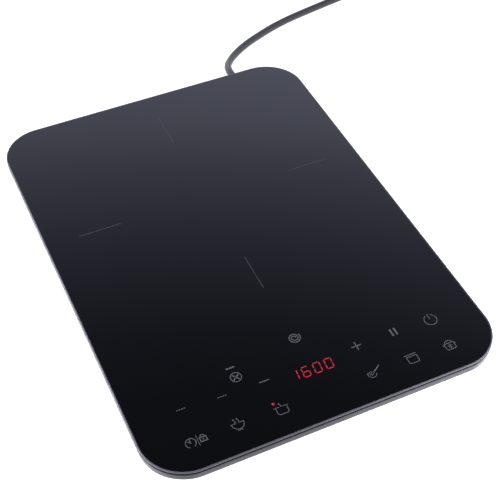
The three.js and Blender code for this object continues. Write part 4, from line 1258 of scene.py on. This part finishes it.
def two_toned(name, texture, inputs, colours, gloss, metallic=0.0, split=False):
    """A material that drifts between two colours and two levels of gloss over a texture."""
    material, tree, shader = new_material(name, {"Metallic": metallic})
    place = add_node(tree, "ShaderNodeTexCoord", -1000)
    pattern = add_node(tree, texture, -700, 0, inputs)
    colour = add_node(
        tree, "ShaderNodeMix", -300, 100, {"A": (*colours[0], 1), "B": (*colours[1], 1)},
        data_type="RGBA",
    )
    shine = add_node(tree, "ShaderNodeMapRange", -300, -150, {"To Min": gloss[0], "To Max": gloss[1]})
    link(tree, (place, "Object", pattern, "Vector"))
    if split:
        channels = add_node(tree, "ShaderNodeSeparateColor", -500)
        link(
            tree,
            (pattern, "Color", channels, 0),
            (channels, 0, colour, "Factor"),
            (channels, 1, shine, "Value"),
        )
    else:
        link(
            tree,
            (pattern, "Fac", colour, "Factor"),
            (pattern, "Fac", shine, "Value"),
        )
    link(
        tree,
        (colour, "Result", shader, "Base Color"),
        (shine, 0, shader, "Roughness"),
    )
    return material, tree, shader, place


LITZ, litz_tree, litz_shader, litz_place = two_toned(
    "litz copper",
    "ShaderNodeTexNoise",
    {"Scale": 90},
    ((0.5, 0.17, 0.06), (0.72, 0.33, 0.14)),
    (0.28, 0.48),
    metallic=0.85,
)
litz_lay = add_node(litz_tree, "ShaderNodeTexWave", -700, 300, {"Scale": 350, "Distortion": 4})
litz_bump = add_node(litz_tree, "ShaderNodeBump", -300, 300, {"Distance": 0.15 * MM})
link(
    litz_tree,
    (litz_place, "Object", litz_lay, "Vector"),
    (litz_lay, "Fac", litz_bump, "Height"),
    (litz_bump, 0, litz_shader, "Normal"),
)


def coiled_group():
    """A round wire wound in a flat spiral, a helix, or a cone between the two."""
    tree, start, real = node_group(
        "coiled wire",
        ("Turns", "Float", 3.0),
        ("Start Radius", "Float", 0.01),
        ("End Radius", "Float", 0.01),
        ("Height", "Float", 0.0),
        ("Wire Radius", "Float", 0.001),
        ("Steps", "Int", 24),
        ("Sides", "Int", 8),
    )
    line = add_node(tree, "GeometryNodeCurveSpiral", -500)
    section = add_node(tree, "GeometryNodeCurvePrimitiveCircle", -500, -300)
    wire = add_node(tree, "GeometryNodeCurveToMesh", 0, 0, {"Fill Caps": True})
    smooth = add_node(tree, "GeometryNodeSetShadeSmooth", 200)
    link(
        tree,
        (start, "Turns", line, "Rotations"),
        (start, "Start Radius", line, "Start Radius"),
        (start, "End Radius", line, "End Radius"),
        (start, "Height", line, "Height"),
        (start, "Steps", line, "Resolution"),
        (start, "Wire Radius", section, "Radius"),
        (start, "Sides", section, "Resolution"),
        (line, 0, wire, "Curve"),
        (section, 0, wire, "Profile Curve"),
        (wire, 0, smooth, 0),
        (smooth, 0, real, 0),
    )
    return tree


COILED = coiled_group()


def coiled(
    name, material, place, turns, start_radius, end_radius, height, wire_radius, steps=24, sides=8,
):
    """A wire coil whose foot is at place. Its sizes are in mm, and its steps are for one turn."""
    made = grown(
        name,
        COILED,
        50,
        turns=turns,
        start_radius=start_radius * MM,
        end_radius=end_radius * MM,
        height=height * MM,
        wire_radius=wire_radius * MM,
        steps=steps,
        sides=sides,
        material=material,
    )
    made.data.transform(Matrix.Translation(Vector(place) * MM))
    return made


winding = coiled("litz_winding", LITZ, (0, 50, 32.2), 24.0, 25.4, 85.4, 0.0, 1.22, 60, 10)
fitted(winding, "litz_copper", "work_coil")

# ---- Mica sheet ----
# A thin disc of pressed mica that keeps the winding off the glass, with the sensor's hole in its
# middle.
MICA = two_toned(
    "pressed mica",
    "ShaderNodeTexVoronoi",
    {"Scale": 520},
    ((0.44, 0.37, 0.26), (0.56, 0.48, 0.34)),
    (0.25, 0.55),
    split=True,
)[0]
mica_profile = metres([(9, 35.9), (88, 35.9), (88, 36.5), (9, 36.5)])
mica_profile = rounded(mica_profile, 0.1 * MM, 2, closed=True)
COIL_AXIS = Matrix.Translation((0, 50 * MM, 0))
mica = turned_object("mica_disc", mica_profile, 96, COIL_AXIS, MICA, closed=True)
fitted(mica, "mica", "mica_sheet")

# ---- Ferrite bars ----
# Six pressed ferrite bars under the former, like spokes. They are dull dark grey, with edges chipped
# round.
FERRITE = grained(
    "ferrite", (0.045, 0.045, 0.047), 0.62, grain=700, depth=0.05, patch=90, colour_spread=0.25,
)
for i in range(6):
    bar = copied(f"ferrite_bar_{i + 1}", f"ferrite_{i + 1}", FERRITE, 0.5 * MM, 3)
    fitted(bar, "ferrite", f"ferrite_bar_{i + 1}")

# ---- Temperature sensor ----
# A white silicone cap pressed up against the glass in the zone's middle, standing on a small steel
# spring.
SILICONE = grained("white silicone", (0.72, 0.71, 0.68), 0.5, grain=1600, depth=0.01, patch=60)
sensor_profile = rounded(
    metres(((0, 29.1), (4.6, 29.1), (5.6, 30.1), (5.6, 35.5), (4.2, 36.7), (0, 36.7))), 0.4 * MM
)
sensor = turned_object("sensor_cap", sensor_profile, 48, COIL_AXIS, SILICONE)
fitted(sensor, "white_silicone", "temperature_sensor")
SPRING_STEEL = grained(
    "spring steel", (0.5, 0.5, 0.51), 0.28, metallic=1.0, grain=900, depth=0.004, patch=150,
)
sensor_coil = coiled("sensor_coil", SPRING_STEEL, (0, 50, 21.35), 3.0, 4.4, 4.4, 7.3, 0.45)
fitted(sensor_coil, "spring_steel", "sensor_spring")

# ---- Coil springs ----
# Three compression springs on the tub's pins hold the coil module up against the glass.
for i, (x, y) in enumerate(SPRING_PLACES):
    lift = coiled(f"module_spring_{i + 1}", SPRING_STEEL, (x, y, 16.05), 4.0, 4.6, 4.6, 11.7, 0.55)
    fitted(lift, "spring_steel", f"coil_spring_{i + 1}")

# ---- Power board ----
# The green board on four posts behind the controls. Its finned aluminium extrusion stands over the
# switching transistor and the rectifier, with two large film capacitors, the ring choke, the supply
# transformer, the fuse and the terminal.
BOARD_GREEN = grained(
    "solder mask", (0.016, 0.10, 0.045), 0.35, grain=700, depth=0.01, patch=160, colour_spread=0.3,
)
ALUMINIUM = grained(
    "extruded aluminium", (0.62, 0.63, 0.64), 0.33, metallic=1.0, grain=1100, depth=0.008, patch=40,
)
EPOXY = grained("black epoxy", (0.015, 0.015, 0.016), 0.48, grain=1600, depth=0.02, patch=90)
FILM_BOX = grained("capacitor case", (0.42, 0.24, 0.05), 0.38, grain=1500, depth=0.01, patch=60)
CERAMIC = grained("white ceramic", (0.66, 0.64, 0.58), 0.42, grain=1400, depth=0.01, patch=90)
CORE = grained("transformer core", (0.03, 0.028, 0.027), 0.55, grain=800, depth=0.04, patch=120)
for node, name, material, slot, bevel in (
    ("power_board", "main_board", BOARD_GREEN, "board_green", 0.1),
    ("heatsink", "finned_heatsink", ALUMINIUM, "aluminium", 0.2),
    ("igbt", "switch_package", EPOXY, "black_plastic", 0.2),
    ("bridge_rectifier", "rectifier_package", EPOXY, "black_plastic", 0.2),
    ("bus_capacitor", "film_capacitor_bus", FILM_BOX, "capacitor_film", 0.6),
    ("resonance_capacitor", "film_capacitor_resonance", FILM_BOX, "capacitor_film", 0.6),
    ("mains_filter_capacitor", "film_capacitor_mains", FILM_BOX, "capacitor_film", 0.6),
    ("standby_transformer", "supply_transformer", CORE, "transformer_core", 0.3),
    ("fuse", "glass_fuse", CERAMIC, "white_ceramic", 0.2),
    ("mains_terminal", "screw_terminal", CERAMIC, "white_ceramic", 0.3),
):
    made = copied(node, name, material, bevel * MM)
    fitted(made, slot, node)

# The choke: a dark ring core with twelve turns of thick enamelled wire, each a rounded loop.
ENAMEL = grained(
    "enamelled wire", (0.46, 0.13, 0.05), 0.25, metallic=0.8, grain=500, depth=0.004, patch=200,
)
CHOKE_AXIS = Matrix.Translation(Vector((93, -106, 12.4)) * MM)
core_profile = rounded(metres(((5, 1), (12, 1), (12, 11), (5, 11))), 0.8 * MM, 3, closed=True)
core = turned_object("choke_core", core_profile, 48, CHOKE_AXIS, CORE, closed=True)
fitted(core, "transformer_core", "filter_choke")
loop_path = []
for corner_x, corner_z, start in ((12, 11, 0), (5, 11, 90), (5, 1, 180), (12, 1, 270)):
    for k in range(4):
        a = math.radians(start + 30 * k)
        loop_path.append(((corner_x + 0.75 * math.cos(a)) * MM, (corner_z + 0.75 * math.sin(a)) * MM))
LOOP_WIRE = 0.7 * MM
loop = bmesh.new()
rings = []
for i, (r, z) in enumerate(loop_path):
    middle = Vector((8.5 * MM, 6 * MM))
    out = (Vector((r, z)) - middle).normalized()
    ring = []
    for k in range(8):
        a = 2 * math.pi * k / 8
        aside, across = LOOP_WIRE * math.cos(a), LOOP_WIRE * math.sin(a)
        ring.append(loop.verts.new((r + aside * out.x, across, z + aside * out.y)))
    rings.append(ring)
for i, ring in enumerate(rings):
    after = rings[(i + 1) % len(rings)]
    for k in range(8):
        loop.faces.new((ring[k], ring[(k + 1) % 8], after[(k + 1) % 8], after[k]))
bmesh.ops.recalc_face_normals(loop, faces=loop.faces)
wire_loop = mesh_object("loop", loop, ENAMEL)


def fan_out_group():
    """Copies of an object turned about the Z axis at equal steps."""
    tree, start, real = node_group(
        "fan out", ("Piece", "Object", None), ("Count", "Int", 6), ("Step", "Float", 1.0),
    )
    dots = add_node(tree, "GeometryNodeMeshLine", -600, 0, {"Offset": (0, 0, 0)}, mode="OFFSET")
    pick = add_node(tree, "GeometryNodeObjectInfo", -600, -300)
    order = add_node(tree, "GeometryNodeInputIndex", -700, -500)
    angle = add_node(tree, "ShaderNodeMath", -500, -500, operation="MULTIPLY")
    turn = add_node(tree, "ShaderNodeCombineXYZ", -300, -500)
    copies = add_node(tree, "GeometryNodeInstanceOnPoints", 0)
    link(
        tree,
        (start, "Count", dots, "Count"),
        (start, "Piece", pick, "Object"),
        (order, 0, angle, 0),
        (start, "Step", angle, 1),
        (angle, 0, turn, "Z"),
        (dots, 0, copies, "Points"),
        (pick, "Geometry", copies, "Instance"),
        (turn, 0, copies, "Rotation"),
        (copies, 0, real, 0),
    )
    return tree


FAN_OUT = fan_out_group()
choke_winding = grown(
    "choke_winding", FAN_OUT, 50, piece=wire_loop, count=12, step=math.radians(30), material=ENAMEL,
)
bpy.data.objects.remove(wire_loop)
choke_winding.data.transform(CHOKE_AXIS)
fitted(choke_winding, "litz_copper")

# Solder joints under the board, and small parts and a row of resistors on it.
SOLDER = grained("solder", (0.6, 0.6, 0.6), 0.3, metallic=1.0, grain=600, depth=0.006, patch=300)
cone_profile = metres([(0, -0.9), (0.45, -0.8), (1.3, 0), (0, 0)])
solder_cone = mesh_object("cone", turned(cone_profile, 12), SOLDER)
joint_places = [(x, y, 10.45) for x in range(2, 104, 9) for y in (-113, -104, -91, -77, -64, -54)]
joints = at_places("solder_joints", solder_cone, joint_places, SOLDER, 3.0)
fitted(joints, "spring_steel")
RESISTOR = grained("resistor body", (0.30, 0.22, 0.12), 0.4, grain=900, depth=0.01, patch=200)
resistor_half = [(0, -3), (0.35, -3), (0.9, -2.6), (1.2, -2), (1, -1)]
resistor_profile = metres(resistor_half + [(r, -z) for r, z in reversed(resistor_half)])
resistor_profile = rounded(resistor_profile, 0.2 * MM)
lying = Matrix.Rotation(math.pi / 2, 4, "X")
resistor = turned_object("resistor", resistor_profile, 16, lying, RESISTOR)
resistor_places = [(x, -115.6, 13.45) for x in (16, 19.4, 22.8, 26.2, 54, 57.4, 60.8)]
resistors = at_places("resistors", resistor, resistor_places, RESISTOR)
fitted(resistors, "white_ceramic")

# ---- Cooling fan ----
# An 80 mm square fan over the grille. Its black frame has a round bore and three struts that carry the
# copper-wound motor, and its rotor of seven curved blades turns about the steel shaft.
FAN_BLACK = grained("fan plastic", (0.02, 0.02, 0.021), 0.42, grain=1300, depth=0.02, patch=50)
fan_case = copied("fan_frame", "fan_housing", FAN_BLACK, 0.4 * MM)
fitted(fan_case, "black_plastic", "fan_frame")
FAN_AXIS = Matrix.Translation((FAN_X * MM, FAN_Y * MM, 6.5 * MM))
BRASS = grained("brass", (0.55, 0.38, 0.14), 0.3, metallic=1.0, grain=700, depth=0.005, patch=150)
# Each has its bore's and its outer radius, and its foot and its top.
for node, name, material, slot, (bore, radius, foot, top), body in (
    ("fan_motor", "motor_stator", LITZ, "litz_copper", (3.4, 11.4, 2.3, 8.7), "case"),
    ("fan_bearing", "bearing_bush", BRASS, "brass", (1.6, 3, 1.2, 8.8), "case"),
    ("fan_shaft", "steel_shaft", SPRING_STEEL, "spring_steel", (0, 1.5, 1.3, 9.8), "fan"),
):
    is_ring = bore > 0
    profile = metres([(bore, foot), (radius, foot), (radius, top), (bore, top)])
    points = rounded(profile, 0.3 * MM, 3, closed=is_ring)
    made = turned_object(name, points, 40, FAN_AXIS, material, closed=is_ring)
    fitted(made, slot, node, body=body)
cup_profile = [(0, 10), (12.4, 10), (12.4, 2.6), (14, 2.6), (14, 11), (13.2, 11.8), (0, 11.8)]
cup = mesh_object("rotor", turned(rounded(metres(cup_profile), 0.4 * MM, 3), 64), FAN_BLACK)
blade = bmesh.new()
rows = []
for i in range(9):
    t = i / 8
    r = (13.4 + 22 * t) * MM
    pitch = math.radians(42 - 10 * t)
    sweep = -0.22 * t * t
    chord = (11.6 + 1.4 * t) * MM
    row = []
    for k in range(7):
        s = k / 6 - 0.5
        lift = chord * s * math.sin(pitch) + 7.2 * MM
        around = 0.16 + sweep + (chord * s * math.cos(pitch) + 1.1 * MM * (1 - 4 * s * s)) / r
        row.append(blade.verts.new((r * math.cos(around), r * math.sin(around), lift)))
    rows.append(row)
for low, high in zip(rows, rows[1:]):
    for k in range(6):
        blade.faces.new((low[k], low[k + 1], high[k + 1], high[k]))
blade_piece = mesh_object("blade", blade, FAN_BLACK)
thickness = blade_piece.modifiers.new("thickness", "SOLIDIFY")
thickness.thickness, thickness.offset = 1.1 * MM, 0
made_plain(blade_piece)
blades = grown("blades", FAN_OUT, piece=blade_piece, count=7, step=2 * math.pi / 7, material=FAN_BLACK)
bpy.data.objects.remove(blade_piece)
rotor = cut_away(cup, [blades], "UNION")
rotor.data.transform(FAN_AXIS)
fitted(rotor, "black_plastic", "fan_rotor", body="fan")

# ---- Controls ----
# The touch board under the glass's front edge, with the display's red lens on it and a sprung touch pad
# under each symbol.
control_board = copied("control_board", "touch_board", BOARD_GREEN, 0.1 * MM)
fitted(control_board, "board_green", "control_board")
LENS = glossy("red lens", (0.05, 0.002, 0.004), 0.12, 0.1, ior=1.49)
display = copied("display_module", "display_lens", LENS, 0.4 * MM)
fitted(display, "red_lens", "display_module")
pad_spring = coiled("pad", SPRING_STEEL, (0, 0, 0), 4.0, 3.4, 2.6, 6.6, 0.3, 20, 6)
pad_places = [(x, -142, 30) for x in (-100, -69.5, -37.4, 37.8, 69.2, 100.3)]
pad_places += [(x, -168.6, 30) for x in (-100.5, -69.5, -36.2, 37.6, 69.7, 100.7)]
touch_springs = at_places("touch_springs", pad_spring, pad_places, SPRING_STEEL, 6.0, 50)
fitted(touch_springs, "spring_steel")

# ---- Leads ----
# The flat grey ribbon between the boards, two black coil leads with heat-proof sleeves, and the cord's
# brown and blue cores on their way to the terminal.
RIBBON = two_toned(
    "ribbon cable",
    "ShaderNodeTexWave",
    {"Scale": 250},
    ((0.16, 0.16, 0.17), (0.32, 0.32, 0.34)),
    (0.4, 0.6),
)[0]
ribbon = copied("ribbon_cable", "flat_ribbon", RIBBON)
fitted(ribbon, "ribbon_grey", "ribbon_cable")
LEADS = (
    (
        "coil_lead_inner",
        "black_lead",
        (0.02, 0.02, 0.02),
        1.5,
        [
            (14, 30, 26), (20, 6, 22.4), (30, -18, 21.4), (39, -36, 19.4), (43, -46, 16.4),
            (44, -48.6, 14.4), (44, -48.8, 12.4),
        ],
    ),
    (
        "coil_lead_outer",
        "black_lead",
        (0.02, 0.02, 0.02),
        1.5,
        [(64, -24, 28.4), (66, -34, 25.4), (61, -43, 20), (57, -48.6, 15.4), (56.6, -49, 12.5)],
    ),
    (
        "mains_lead_live",
        "brown_lead",
        (0.10, 0.035, 0.015),
        1.3,
        [
            (100.4, 158, 16.5), (102.4, 140, 13), (106.4, 110, 10), (109.4, 60, 10), (109.4, 10, 10),
            (107.6, -22, 12), (105, -46, 16.4), (104.5, -62, 16.9), (104.5, -72.5, 16.9),
        ],
    ),
    (
        "mains_lead_neutral",
        "blue_lead",
        (0.02, 0.06, 0.25),
        1.3,
        [
            (95.6, 158, 16.5), (97.6, 140, 13), (101.6, 110, 10), (104.6, 60, 10), (104.6, 10, 10),
            (102.4, -22, 12), (97, -46, 16.4), (94.5, -62, 16.9), (94.5, -72.5, 16.9),
        ],
    ),
)
for node, slot, colour, radius, points in LEADS:
    insulation = grained(f"{node} sleeve", colour, 0.45, grain=1500, depth=0.01, patch=80)
    lead = cord_curve(f"{node}_wire", [Vector(p) * MM for p in points], radius * MM, insulation)
    fitted(lead, slot, node)

# ---- Cord clamp ----
# A black bridge over the cord on two legs, which takes the pull on it just inside the wall.
clamp = copied("cord_clamp", "cord_bridge", FAN_BLACK, 0.5 * MM)
fitted(clamp, "black_plastic", "cord_clamp")

low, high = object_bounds()
